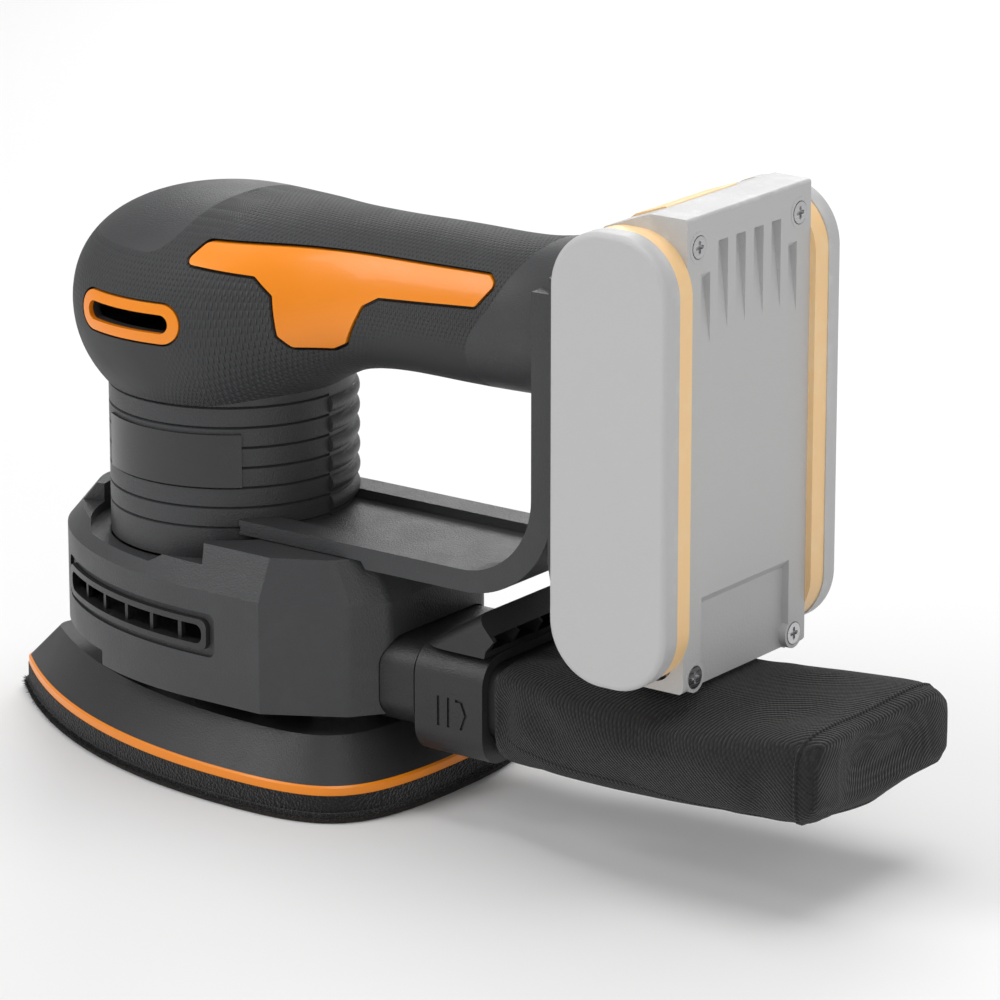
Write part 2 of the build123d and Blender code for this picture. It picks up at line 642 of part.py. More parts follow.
hub_r = 14.5
with BuildPart() as pad_base:
    add(pad_outline(pad_top_z, -ring_w - 0.05))
    extrude(amount=ring_t)
    loft(sections=[pad_outline(skirt_z0, -0.6), pad_outline(skirt_top_z, -skirt_inset)])
    loft(sections=[pad_outline(skirt_z0 + 0.5, -0.6 - skirt_wall - 2),
                   pad_outline(skirt_top_z - skirt_wall, -skirt_inset - skirt_wall - 0.5)], mode=Mode.SUBTRACT)
    add(disc(skirt_top_z - skirt_wall - 1, skirt_top_z + 1, 22, at=(orbit, 0)), mode=Mode.SUBTRACT)
    add(disc(pad_top_z, pad_bearing_z1 + 2, hub_r, at=(orbit, 0)))
    add(disc(pad_bearing_z0, pad_bearing_z1 + 3, bearing_r + 0.02, at=(orbit, 0)), mode=Mode.SUBTRACT)
    add(disc(pad_top_z - 1, pad_bearing_z0 + 1, 7.0, at=(orbit, 0)), mode=Mode.SUBTRACT)
    for angle in range(0, 360, 45):
        with BuildSketch(Plane.XY.offset(skirt_z0)):
            with Locations((orbit, 0)):
                with PolarLocations(hub_r + 4.5, 1, start_angle=angle):
                    Rectangle(11, 1.6)
        extrude(amount=6)
    with BuildSketch(Plane.XY.offset(pad_top_z)):
        with Locations(*dust_holes):
            Circle(dust_hole_r)
    extrude(amount=ring_t + 0.5, mode=Mode.SUBTRACT)
keep(pad_base, "pad_base")

leg_spots = [(leg_x_front, -leg_y + 3), (leg_x_front, leg_y - 3), (leg_x_rear, -leg_y), (leg_x_rear, leg_y)]
leg_top_z = 33.4
with BuildPart() as pad_legs:
    for x, y in leg_spots:
        add(disc(skirt_top_z, leg_top_z, leg_r, at=(x, y)))
        add(disc(skirt_top_z, skirt_top_z + 1.6, leg_r + 1.2, at=(x, y)))
        add(disc(leg_top_z - 2, leg_top_z, leg_r + 0.8, at=(x, y)))
keep(pad_legs, "pad_legs")

# ---- base housing ------------------------------------------------------------------------------------
notch_x = -18.0
recess_from, recess_to = -165.0, -62.0
plate_screws = ((-39.0, 0.0, 56.5), (46.0, -27.0, 64.0), (46.0, 27.0, 64.0))      # x, y, boss top
floor_t = recess_floor_z - 56.0
with BuildPart() as base_space:
    add(base_low(base_bottom_z - 3, -wall))
    extrude(amount=base_shoulder_z - base_bottom_z + 2)
    loft(sections=[base_low(base_shoulder_z - 1, -wall), base_high(base_top_z - wall, -wall)])
    add(disc(recess_floor_z - floor_t, base_top_z + 5, recess_r + wall), mode=Mode.SUBTRACT)


def vent_band(height, x0, x1, grow, depth):
    """The part of the flanks' wall, depth thick and standing grow proud, within the air slot's outline."""
    with BuildPart() as band:
        add(base_low(vent_z - height, grow))
        extrude(amount=2 * height)
        add(base_low(vent_z - height - 1, grow - depth))
        extrude(amount=2 * height + 2, mode=Mode.SUBTRACT)
        with BuildSketch(across(0, 0, 0, -1)):
            with Locations(((x0 + x1) / 2, vent_z)):
                RectangleRounded(x1 - x0, height, 2.2)
        extrude(amount=70, both=True, mode=Mode.INTERSECT)
    return band.part


frame_w = 1.6
with BuildPart() as base_housing:
    add(base_low(base_bottom_z))
    extrude(amount=base_shoulder_z - base_bottom_z)
    loft(sections=[base_low(base_shoulder_z), base_high(base_top_z)])
    add(base_space.part, mode=Mode.SUBTRACT)
    add(disc(recess_floor_z, base_top_z + 5, recess_r), mode=Mode.SUBTRACT)
    add(disc(recess_floor_z - 5, base_top_z + 5, barrel_r + gap), mode=Mode.SUBTRACT)
    for turn in (1, -1):
        a, b = radians(turn * recess_from), radians(turn * recess_to)
        mid = (a + b) / 2
        with BuildSketch(Plane.XY.offset(recess_rim_z)):
            Polygon((0, 0), (95 * cos(a), 95 * sin(a)), (150 * cos(mid), 150 * sin(mid)),
                    (95 * cos(b), 95 * sin(b)), align=None)
        extrude(amount=20, mode=Mode.SUBTRACT)
    with BuildSketch(Plane.XY.offset(base_bottom_z - 1)):
        with Locations((notch_x - 50, 0)):
            Rectangle(100, 120)
    extrude(amount=base_front_bottom_z - base_bottom_z + 1, mode=Mode.SUBTRACT)
    for x, y, boss_top in plate_screws:
        add(disc(plate_z0 + plate_t, boss_top, 4.0, at=(x, y)))
        add(disc(plate_z0, plate_z0 + 12, pilot_r, at=(x, y)), mode=Mode.SUBTRACT)
    add(vent_band(vent_h + 3.4, vent_x0 - 2.2, vent_x1 + 2.2, 2.0, 3.0), mode=Mode.SUBTRACT)
    add(vent_band(vent_h, vent_x0, vent_x1, 2.0, 6.0), mode=Mode.SUBTRACT)
    with BuildSketch(side_plane(base_rear_x - 14, (duct_z0 + duct_z1) / 2)):
        RectangleRounded(2 * (duct_half_w + gap), duct_z1 - duct_z0 + 2 * gap, 7 + gap)
    extrude(amount=20, mode=Mode.SUBTRACT)
keep(base_housing, "base_housing")

bar_pitch, bar_t = 10.4, 1.2
with BuildPart() as vent_bar_block:
    for n in range(5):
        with BuildSketch(across(vent_x0 + 10 + bar_pitch * n, vent_z, 60, -1)):
            Rectangle(bar_t, vent_h - 1)
        extrude(amount=120)
    add(vent_band(vent_h - 1, vent_x0 + 1, vent_x1 - 1, -1.2, 1.6), mode=Mode.INTERSECT)
vent_bars = vent_bar_block.part

for side, name, y0, y1 in sides:
    with BuildPart() as side_grille:
        add(half(vent_band(vent_h - 0.1, vent_x0 + 0.05, vent_x1 - 0.05, 0.6, 3.4), side))
        add(half(vent_band(vent_h - 2 * frame_w, vent_x0 + frame_w, vent_x1 - frame_w, 2.0, 7.0), side),
            mode=Mode.SUBTRACT)
        add(half(vent_bars, side))
    keep(side_grille, f"side_grille_{name}")


with BuildPart() as bearing_plate:
    add(base_low(plate_z0, -wall - gap))
    extrude(amount=plate_t)
    with BuildSketch(Plane.XY.offset(plate_z0)):
        with Locations((duct_x0, 0)):
            Rectangle(30, 2 * duct_half_w + 4)
    extrude(amount=plate_t, mode=Mode.SUBTRACT)
    add(disc(lower_bearing_z0, lower_bearing_z0 + bearing_h, bearing_r + 2.5))
    add(disc(lower_bearing_z0 - 1, lower_bearing_z0 + bearing_h + 1, bearing_r + 0.02), mode=Mode.SUBTRACT)
    for x, y in leg_spots:
        add(disc(base_bottom_z + 1.5, plate_z0, leg_r + 4.2, leg_r + 2.2, at=(x - orbit, y)))
    for x, y, boss_top in plate_screws:
        add(disc(plate_z0 - 1, plate_z0 + plate_t + 1, clear_r, at=(x, y)), mode=Mode.SUBTRACT)
    for angle in range(0, 360, 60):
        with BuildSketch(Plane.XY.offset(plate_z0)):
            with PolarLocations(20, 1, start_angle=angle + 30):
                SlotOverall(9, 5, rotation=90)
        extrude(amount=plate_t, mode=Mode.SUBTRACT)
keep(bearing_plate, "bearing_plate")

with BuildPart() as plate_screw_set:
    for x, y, boss_top in plate_screws:
        add(disc(plate_z0 - 2.2, plate_z0, screw_head_r, at=(x, y)))
        add(disc(plate_z0, plate_z0 + 11, pilot_r, at=(x, y)))
keep(plate_screw_set, "base_screws")

# ---- dust duct, collar, bag --------------------------------------------------------------------------
def tube_section(x, half_w, z0, z1, corner):
    """A rounded rectangle across the tool at x."""
    with BuildSketch(side_plane(x, (z0 + z1) / 2)) as section:
        RectangleRounded(2 * half_w, z1 - z0, corner)
    return section.sketch


def tube(x0, x1, half_w, z0, z1, corner):
    """A solid block of that section from x0 to x1."""
    with BuildPart() as block:
        add(tube_section(x0, half_w, z0, z1, corner))
        extrude(amount=x1 - x0, dir=(1, 0, 0))
    return block.part


spigot_in = 1.2
seal_t = 1.2
with BuildPart() as dust_duct:
    add(tube(duct_x0, duct_x1, duct_half_w, duct_z0, duct_z1, 7))
    add(tube(duct_x1, spigot_x1, duct_half_w - spigot_in, duct_z0 + spigot_in, duct_z1 - spigot_in, 6))
    add(tube(duct_x0 - 1, spigot_x1 + 1, duct_half_w - spigot_in - duct_wall, duct_z0 + spigot_in + duct_wall,
             duct_z1 - spigot_in - duct_wall, 4.5), mode=Mode.SUBTRACT)
keep(dust_duct, "dust_duct")

with BuildPart() as duct_seal:
    add(tube(duct_x1, duct_x1 + seal_t, duct_half_w - 0.3, duct_z0 + 0.3, duct_z1 - 0.3, 6.8))
    add(tube(duct_x1, duct_x1 + seal_t, duct_half_w - spigot_in, duct_z0 + spigot_in, duct_z1 - spigot_in, 6),
        mode=Mode.SUBTRACT)
keep(duct_seal, "duct_seal")

collar_x0 = duct_x1 + seal_t + gap
collar_in_w = duct_half_w - spigot_in + gap
collar_in_z0, collar_in_z1 = duct_z0 + spigot_in - gap, duct_z1 - spigot_in + gap
hood_x0, hood_x1, hood_z, hood_lip_z = 79.5, 97.0, 57.5, 48.5
with BuildPart() as bag_collar:
    add(tube(collar_x0, collar_x1, collar_half_w, collar_z0, collar_z1, 8))
    add(tube(collar_x0 - 1, collar_x1 + 1, collar_in_w, collar_in_z0, collar_in_z1, 6 + gap), mode=Mode.SUBTRACT)
    for x in (86.0, 89.2):
        with BuildSketch(across(x, 30.5, -collar_half_w + 0.5, -1)):
            Rectangle(0.8, 8)
        extrude(amount=2, mode=Mode.SUBTRACT)
    with BuildSketch(across(0, 30.5, -collar_half_w + 0.5, -1)):
        with BuildLine():
            Polyline((91.4, 4), (93.6, 4), (95.2, 0), (93.6, -4), (92.8, -4), (94.3, 0), (93.0, 3.2), (91.4, 3.2),
                     close=True)
        make_face()
    extrude(amount=2, mode=Mode.SUBTRACT)
keep(bag_collar, "bag_collar")

with BuildPart() as bag_louvre:
    with BuildSketch(across(0, 0, collar_half_w - 1.5, -1)):
        with BuildLine():
            Polyline((hood_x0, collar_z1), (hood_x1, hood_z), (hood_x1 + 5.5, hood_z - 6), (hood_x1 + 3, hood_lip_z),
                     (hood_x1 + 2.5, collar_z1), close=True)
        make_face()
    extrude(amount=2 * collar_half_w - 3)
    fillet(bag_louvre.edges().filter_by(lambda e: abs(e.center().Z - (collar_z1 + hood_z) / 2) < 1
                                        and abs(e.center().Y) > 10), radius=4)
    with BuildSketch(across(0, 0, collar_half_w - 3, -1)):
        with BuildLine():
            Polyline((hood_x0 + 5, collar_z1 + 1.2), (hood_x1 + 0.6, hood_z - 2.2), (hood_x1 + 9, hood_z - 8),
                     (hood_x1 + 9, hood_lip_z), (hood_x0 + 5, hood_lip_z - 0.8), close=True)
        make_face()
    extrude(amount=2 * collar_half_w - 6, mode=Mode.SUBTRACT)
    for y in (-20.5, -10.2, 0, 10.2, 20.5):
        with BuildSketch(across(0, 0, y + 0.5, -1)):
            with BuildLine():
                Polyline((hood_x0 + 5, collar_z1 + 0.4), (hood_x1 - 0.4, hood_z - 1.5), (hood_x1 + 4.4, hood_z - 6.4),
                         (hood_x1 + 2.0, collar_z1 + 0.4), close=True)
            make_face()
        extrude(amount=1.0)
keep(bag_louvre, "bag_louvre")

with BuildPart() as bag_ring:
    add(tube(spigot_x1 + 2, collar_x1 + 6, collar_in_w - gap, collar_in_z0 + gap, collar_in_z1 - gap, 6))
    add(tube(spigot_x1 + 1, collar_x1 + 7, collar_in_w - 2, collar_in_z0 + 2, collar_in_z1 - 2, 4.5),
        mode=Mode.SUBTRACT)
keep(bag_ring, "bag_ring")

bag_sections = (             # x, half width, bottom, top
    (collar_x1 + gap, collar_half_w - 0.3, collar_z0 + 0.4, collar_z1 - 0.2),
    (collar_x1 + 22, bag_half_w - 3, collar_z0 + 1.6, collar_z1 + 0.3),
    (collar_x1 + 55, bag_half_w, collar_z0 + 3.2, collar_z1 + 1.0),
    (bag_x1 - 8, bag_half_w + 1, collar_z0 + 5.2, collar_z1 + 4.0),
    (bag_x1, bag_half_w, collar_z0 + 8, collar_z1 + 2.0),
)


def bag_form(inset, mouth=0.0):
    """The filled bag, a boxy pillow that grows from the collar to its sewn rear end; mouth runs it out in front."""
    sections = []
    for n, (x, w, z0, z1) in enumerate(bag_sections):
        shift = -mouth if n == 0 else -inset if n == len(bag_sections) - 1 else 0
        sections.append(tube_section(x + shift, w - inset, z0 + inset, z1 - inset, 8 - inset))
    with BuildPart() as form:
        loft(sections=sections, ruled=True)
    return form.part


with BuildPart() as dust_bag:
    add(bag_form(0))
    add(bag_form(bag_wall, 2), mode=Mode.SUBTRACT)
keep(dust_bag, "dust_bag")

# ---- battery receiver --------------------------------------------------------------------------------
receiver_x0 = post_x1
rail_x0, flange_t = pack_x0 - 7.0, 3.0
slot_gap = 0.35
contact_ys = (-10.5, -3.5, 3.5, 10.5)
with BuildPart() as battery_receiver:
    with BuildSketch(across(0, 0, receiver_half_w, -1)):
        with BuildLine():
            Polyline((receiver_x0, receiver_z1), (pack_x0 - gap, receiver_z1 - 4), (pack_x0 - gap, receiver_z0 + 2),
                     (pack_x0 - gap - 2, receiver_z0), (receiver_x0 + 3, receiver_z0), (receiver_x0, receiver_z0 + 16),
                     close=True)
        make_face()
    extrude(amount=2 * receiver_half_w)
    chamfer(battery_receiver.edges().filter_by(Axis.Z).sort_by(Axis.X)[-2:], length=1.5)
    with BuildSketch(Plane.XY.offset(rail_z0 - gap)):
        with Locations(((rail_x0 - slot_gap + pack_x0 + 5) / 2, 0)):
            Rectangle(pack_x0 + 5 - rail_x0 + slot_gap, 2 * (rail_half_w + slot_gap))
        with Locations((rail_x0 + flange_t / 2, 0)):
            Rectangle(flange_t + 2 * slot_gap, 2 * (rail_half_w + rail_flange + slot_gap))
    extrude(amount=120, mode=Mode.SUBTRACT)
keep(battery_receiver, "battery_receiver")

blade_h = 12.0
with BuildPart() as receiver_contacts:
    for y in contact_ys:
        with BuildSketch(Plane.XY.offset(rail_z0 - gap)):
            with Locations((rail_x0 + 3.4, y)):
                Rectangle(4.4, 0.8)
        extrude(amount=blade_h)
keep(receiver_contacts, "receiver_contacts")

# ---- battery pack ------------------------------------------------------------------------------------
core_x0, core_x1, core_z0b, core_z1t = pack_x0 + 0.5, pack_x1 - 2.0, pack_z0 - 1.6, pack_z1 + 3.4


def stadium(x0, x1, z0, z1, corner):
    """A side-view rounded block: local x is +X, local y is +Z."""
    with BuildSketch() as shape:
        with Locations(((x0 + x1) / 2, (z0 + z1) / 2)):
            RectangleRounded(x1 - x0, z1 - z0, corner)
    return shape.sketch


screw_y, screw_z0, screw_z1 = 22.0, 54.3, 163.8
button_half_w, notch_depth = 15.4, 13.0
with BuildSketch() as core_profile:
    with BuildLine():
        Polyline((core_x0, core_z0b + 8), (core_x0 + 7, core_z0b), (core_x1 - 1, core_z0b), (core_x1, core_z0b + 1),
                 (core_x1, core_z1t), (core_x1 - 11, core_z1t), (core_x0 + 8, core_z1t - 5),
                 (core_x0, core_z1t - 15), close=True)
    make_face()
with BuildPart() as battery_core:
    add(side_prism(core_profile.sketch, band_in_y, -band_in_y))
    fillet(battery_core.edges().filter_by(Axis.Y), radius=0.9)
    add(side_prism(stadium(core_x0 + pack_wall, core_x1 - 3.2, core_z0b + pack_wall, core_z1t - 15, 6),
                   band_in_y + 1, -band_in_y - 1), mode=Mode.SUBTRACT)
    for y in (-11.6, -3.9, 3.9, 11.6):
        with BuildSketch(across(0, 0, y + 2.1, -1)):
            Polygon((core_x1 + 1, screw_z1 + 0.5), (core_x1 - 2.6, screw_z1 - 1), (core_x1 + 0.4, screw_z1 - 26),
                    align=None)
        extrude(amount=4.2, mode=Mode.SUBTRACT)
    for y in (-19.0, 19.0):
        with BuildSketch(across(0, 0, y + 1.9, -1)):
            Polygon((core_x1 + 1, screw_z1 - 6), (core_x1 - 2.2, screw_z1 - 9), (core_x1 + 0.4, screw_z1 - 28),
                    align=None)
        extrude(amount=3.8, mode=Mode.SUBTRACT)
    with BuildSketch(across(0, 0, 19.5, -1)):
        Polygon((core_x1 + 1, 75.5), (core_x1 - 2.0, 72), (core_x1 - 2.0, core_z0b - 1), (core_x1 + 1, core_z0b - 1),
                align=None)
    extrude(amount=39, mode=Mode.SUBTRACT)
    with BuildSketch(side_plane(core_x1 - 6)):
        with GridLocations(2 * screw_y, screw_z1 - screw_z0, 2, 2):
            with Locations((0, (screw_z0 + screw_z1) / 2)):
                Circle(3.9)
    extrude(amount=6.1)
    with BuildSketch(side_plane(core_x1 - 1.2)):
        with GridLocations(2 * screw_y, screw_z1 - screw_z0, 2, 2):
            with Locations((0, (screw_z0 + screw_z1) / 2)):
                Circle(3.0)
    extrude(amount=2, mode=Mode.SUBTRACT)
    with BuildSketch(side_plane(core_x1 - 6)):
        with GridLocations(2 * screw_y, screw_z1 - screw_z0, 2, 2):
            with Locations((0, (screw_z0 + screw_z1) / 2)):
                Circle(1.3)
    extrude(amount=6, mode=Mode.SUBTRACT)
    with BuildSketch(Plane.XY.offset(core_z1t - notch_depth)):
        with Locations((core_x0 + 8, 0)):
            Rectangle(22, 2 * (button_half_w + gap))
    extrude(amount=14, mode=Mode.SUBTRACT)
keep(battery_core, "battery_core")

with BuildPart() as battery_screws:
    with BuildSketch(side_plane(core_x1 - 1.2)):
        with GridLocations(2 * screw_y, screw_z1 - screw_z0, 2, 2):
            with Locations((0, (screw_z0 + screw_z1) / 2)):
                Circle(2.8)
    extrude(amount=1.4)
    with BuildSketch(side_plane(core_x1 - 0.5)):
        with GridLocations(2 * screw_y, screw_z1 - screw_z0, 2, 2):
            with Locations((0, (screw_z0 + screw_z1) / 2)):
                SlotOverall(3.4, 1.0)
                SlotOverall(3.4, 1.0, rotation=90)
    extrude(amount=1, mode=Mode.SUBTRACT)
    with BuildSketch(side_plane(core_x1 - 6)):
        with GridLocations(2 * screw_y, screw_z1 - screw_z0, 2, 2):
            with Locations((0, (screw_z0 + screw_z1) / 2)):
                Circle(1.25)
    extrude(amount=4.9)
keep(battery_screws, "battery_screws")

cap_groove = 0.6
for side, name, y0, y1 in sides:
    outer_y, seam_y, inner_y = side * pack_half_w, side * band_out_y, side * band_in_y
    with BuildPart() as band:
        add(side_prism(stadium(pack_x0 + 0.3, pack_x1 - 0.3, pack_z0 + 0.3, pack_z1 - 0.3, pack_corner),
                       max(seam_y, inner_y), min(seam_y, inner_y)))
        add(side_prism(stadium(pack_x0 + pack_wall, pack_x1 - pack_wall, pack_z0 + pack_wall,
                               pack_z1 - pack_wall, pack_corner - pack_wall), 60, -60), mode=Mode.SUBTRACT)
    keep(band, f"battery_band_{name}")
    with BuildPart() as side_cap:
        add(side_prism(stadium(pack_x0, pack_x1, pack_z0, pack_z1, pack_corner),
                       max(outer_y, seam_y), min(outer_y, seam_y)))
        rim_face = side_cap.faces().sort_by(Axis.Y)[0 if side < 0 else -1]
        fillet(rim_face.edges(), radius=1.6)
        add(side_prism(stadium(pack_x0 + pack_wall, pack_x1 - pack_wall, pack_z0 + pack_wall,
                               pack_z1 - pack_wall, pack_corner - pack_wall),
                       max(outer_y - side * 2.6, seam_y), min(outer_y - side * 2.6, seam_y)), mode=Mode.SUBTRACT)
        with BuildSketch(across(0, 0, outer_y - side * cap_groove, side)):
            add(stadium(pack_x0 + 5.5, pack_x1 - 5.5, pack_z0 + 8, pack_z1 - 8, pack_corner - 6)
                if side > 0 else mirror(stadium(pack_x0 + 5.5, pack_x1 - 5.5, pack_z0 + 8, pack_z1 - 8,
                                                pack_corner - 6), about=Plane.XZ, mode=Mode.PRIVATE))
        extrude(amount=cap_groove + 0.1, mode=Mode.SUBTRACT)
    keep(side_cap, f"battery_cap_{name}")

cell_pitch, cell_x, cell_z0 = 18.7, 147.4, 64.6
with BuildPart() as battery_cells:
    for n in range(cell_count):
        with BuildSketch(across(cell_x, cell_z0 + cell_pitch * n, cell_len / 2, -1)):
            Circle(cell_r)
        extrude(amount=cell_len)
keep(battery_cells, "battery_cells")

holder_t, holder_y, holder_z0 = 3.0, 22.0, 55.0
with BuildPart() as cell_holders:
    for y in (holder_y, -holder_y + holder_t):
        add(side_prism(stadium(core_x0 + pack_wall + gap, core_x1 - 6 - gap, holder_z0,
                               core_z1t - 15 - gap, 5.5), y, y - holder_t))
    for n in range(cell_count):
        with BuildSketch(across(cell_x, cell_z0 + cell_pitch * n, 40, -1)):
            Circle(cell_r + 0.03)
        extrude(amount=80, mode=Mode.SUBTRACT)
keep(cell_holders, "cell_holders")

rail_z1 = 148.0
with BuildPart() as battery_rail:
    with BuildSketch(Plane.XY.offset(rail_z0)):
        with Locations(((rail_x0 + core_x0) / 2, 0)):
            Rectangle(core_x0 - rail_x0, 2 * rail_half_w)
        with Locations((rail_x0 + flange_t / 2, 0)):
            Rectangle(flange_t, 2 * (rail_half_w + rail_flange))
    extrude(amount=rail_z1 - rail_z0)
    with BuildSketch(Plane.XY.offset(rail_z0)):
        for y in contact_ys:
            with Locations((rail_x0 + 3.4, y)):
                Rectangle(5.4, 2.4)
    extrude(amount=blade_h + 2, mode=Mode.SUBTRACT)
keep(battery_rail, "battery_rail")

with BuildPart() as battery_contacts:
    for y in contact_ys:
        for shift in (-1.0, 1.0):
            with BuildSketch(Plane.XY.offset(rail_z0 + 3)):
                with Locations((rail_x0 + 3.4, y + shift)):
                    Rectangle(4.0, 0.36)
            extrude(amount=blade_h - 4)
keep(battery_contacts, "battery_contacts")

button_z0 = core_z1t - 9.8
with BuildSketch() as button_profile:
    Polygon((core_x0 + 3.5, button_z0), (core_x0 + 18.6, button_z0), (core_x0 + 18.6, core_z1t - 0.6),
            (core_x0 + 9, core_z1t - 4.0), (core_x0 + 3.5, core_z1t - 8.6), align=None)
with BuildPart() as release_button:
    add(side_prism(button_profile.sketch, button_half_w, -button_half_w))
    fillet(release_button.edges().filter_by(Axis.Y).group_by(Axis.Z)[1:], radius=0.8)
keep(release_button, "release_button")
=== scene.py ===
import bmesh
import bpy
import json
import random
from math import cos, pi, sin
from mathutils import Matrix, Vector
from mathutils.bvhtree import BVHTree


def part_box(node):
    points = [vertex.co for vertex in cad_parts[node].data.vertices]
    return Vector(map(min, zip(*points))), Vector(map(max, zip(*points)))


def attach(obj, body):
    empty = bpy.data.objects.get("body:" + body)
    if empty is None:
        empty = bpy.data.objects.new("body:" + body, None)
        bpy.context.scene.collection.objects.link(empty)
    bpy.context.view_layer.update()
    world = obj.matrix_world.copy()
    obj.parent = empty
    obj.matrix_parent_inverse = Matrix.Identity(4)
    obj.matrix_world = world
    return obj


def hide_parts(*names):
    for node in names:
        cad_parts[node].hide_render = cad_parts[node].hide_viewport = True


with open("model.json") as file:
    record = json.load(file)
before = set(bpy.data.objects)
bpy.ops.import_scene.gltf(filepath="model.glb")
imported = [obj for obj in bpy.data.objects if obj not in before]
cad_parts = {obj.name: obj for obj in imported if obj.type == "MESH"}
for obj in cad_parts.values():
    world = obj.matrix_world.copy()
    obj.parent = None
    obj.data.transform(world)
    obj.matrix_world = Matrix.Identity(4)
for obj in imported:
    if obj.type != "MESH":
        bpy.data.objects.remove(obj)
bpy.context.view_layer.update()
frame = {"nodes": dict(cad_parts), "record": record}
nodes = frame["nodes"]


# ---- camera, lights and floor -----------------------------------------------------------------------
def aim(obj, back, right):
    """Turn a camera or lamp so that it looks against back, with right to its right."""
    back, right = Vector(back).normalized(), Vector(right).normalized()
    up = back.cross(right)
    turn = Matrix((right, up, back)).transposed()
    obj.matrix_world = Matrix.Translation(obj.location) @ turn.to_4x4()


camera_data = bpy.data.cameras.new("camera")
camera_data.lens, camera_data.sensor_width = 205.2, 36.0
camera_data.clip_start, camera_data.clip_end = 0.05, 20.0
camera = bpy.data.objects.new("camera", camera_data)
camera.location = (0.91867, -1.12671, 0.50129)
bpy.context.scene.collection.objects.link(camera)
aim(camera, (0.5684, -0.7709, 0.2874), (0.8049, 0.5934, 0.0))
bpy.context.scene.camera = camera


def lamp(name, place, target, width, height, power):
    data = bpy.data.lights.new(name, "AREA")
    data.shape, data.size, data.size_y, data.energy = "RECTANGLE", width, height, power
    obj = bpy.data.objects.new(name, data)
    obj.location = place
    bpy.context.scene.collection.objects.link(obj)
    back = Vector(place) - Vector(target)
    aim(obj, back, Vector((0, 0, 1)).cross(back) if abs(back.x) + abs(back.y) > 1e-6 else (1, 0, 0))


middle = (0.06, 0.0, 0.08)
lamp("key_left", (-0.75, -0.95, 0.95), middle, 0.7, 0.9, 8.2)
lamp("fill_right", (1.2, -0.7, 0.55), middle, 0.8, 0.8, 3.2)
lamp("top", (0.1, 0.15, 1.3), middle, 1.1, 0.9, 9.0)
lamp("back_rim", (-0.5, 1.2, 0.7), middle, 0.8, 0.5, 6.0)

world = bpy.data.worlds.new("studio")
world.use_nodes = True
ambient = world.node_tree.nodes["Background"]
ambient.inputs["Color"].default_value = (1, 1, 1, 1)
ambient.inputs["Strength"].default_value = 0.36
backdrop = world.node_tree.nodes.new("ShaderNodeBackground")
backdrop.inputs["Color"].default_value = (1, 1, 1, 1)
seen = world.node_tree.nodes.new("ShaderNodeLightPath")
either = world.node_tree.nodes.new("ShaderNodeMixShader")
world.node_tree.links.new(seen.outputs["Is Camera Ray"], either.inputs[0])
world.node_tree.links.new(ambient.outputs[0], either.inputs[1])
world.node_tree.links.new(backdrop.outputs[0], either.inputs[2])
world.node_tree.links.new(either.outputs[0], world.node_tree.nodes["World Output"].inputs["Surface"])
bpy.context.scene.world = world
bpy.context.scene.view_settings.view_transform = "Standard"


# ---- shader building --------------------------------------------------------------------------------
class Wiring:
    """Adds nodes to one node tree; numbers set a socket, sockets are joined to it."""

    def __init__(self, tree):
        self.tree = tree

    def add(self, kind, settings=(), **inputs):
        node = self.tree.nodes.new(kind)
        for key, value in dict(settings).items():
            setattr(node, key, value)
        for key, value in inputs.items():
            self.put(node.inputs[key.replace("_", " ")], value)
        return node

    def put(self, socket, value):
        if isinstance(value, bpy.types.NodeSocket):
            self.tree.links.new(value, socket)
        else:
            socket.default_value = value

    def math(self, how, *values, clamp=False):
        node = self.tree.nodes.new("ShaderNodeMath")
        node.operation, node.use_clamp = how, clamp
        for socket, value in zip(node.inputs, values):
            self.put(socket, value)
        return node.outputs[0]

    def place(self):
        """X, Y and Z of the surface point in metres."""
        coords = self.add("ShaderNodeTexCoord").outputs["Object"]
        split = self.add("ShaderNodeSeparateXYZ", Vector=coords)
        return coords, split.outputs[0], split.outputs[1], split.outputs[2]

    def noise(self, coords, scale, detail=3.0, rough=0.55):
        node = self.add("ShaderNodeTexNoise", Vector=coords, Scale=scale, Detail=detail, Roughness=rough)
        return node.outputs[0]

    def ramp(self, value, low, high, to_low=0.0, to_high=1.0):
        """value from low to high turned smoothly into to_low to to_high."""
        node = self.add("ShaderNodeMapRange", {"interpolation_type": "SMOOTHSTEP"})
        for socket, number in zip(node.inputs, (value, low, high, to_low, to_high)):
            self.put(socket, number)
        return node.outputs[0]

    def ball(self, centre, inner, outer, squash=(1, 1, 1)):
        """1 inside a soft-edged ball about centre (mm), 0 outside it."""
        coords = self.place()[0]
        away = self.add("ShaderNodeVectorMath", {"operation": "SUBTRACT"})
        self.put(away.inputs[0], coords)
        away.inputs[1].default_value = [c / 1000 for c in centre]
        scaled = self.add("ShaderNodeVectorMath", {"operation": "MULTIPLY"})
        self.put(scaled.inputs[0], away.outputs[0])
        scaled.inputs[1].default_value = squash
        length = self.add("ShaderNodeVectorMath", {"operation": "LENGTH"})
        self.put(length.inputs[0], scaled.outputs[0])
        return self.ramp(length.outputs["Value"], inner / 1000, outer / 1000, 1.0, 0.0)


def group(name, inputs, outputs, fill):
    """A node group with named sockets; fill(wiring, inputs) returns its outputs in order."""
    tree = bpy.data.node_groups.new(name, "ShaderNodeTree")
    for label, value in inputs.items():
        socket = tree.interface.new_socket(label, in_out="INPUT", socket_type="NodeSocketFloat")
        socket.default_value = value
    for label, kind in outputs.items():
        tree.interface.new_socket(label, in_out="OUTPUT", socket_type=kind)
    start, end = tree.nodes.new("NodeGroupInput"), tree.nodes.new("NodeGroupOutput")
    results = fill(Wiring(tree), {label: start.outputs[label] for label in inputs})
    for label, result in zip(outputs, results):
        tree.links.new(result, end.inputs[label])
    return tree


FLOAT = "NodeSocketFloat"


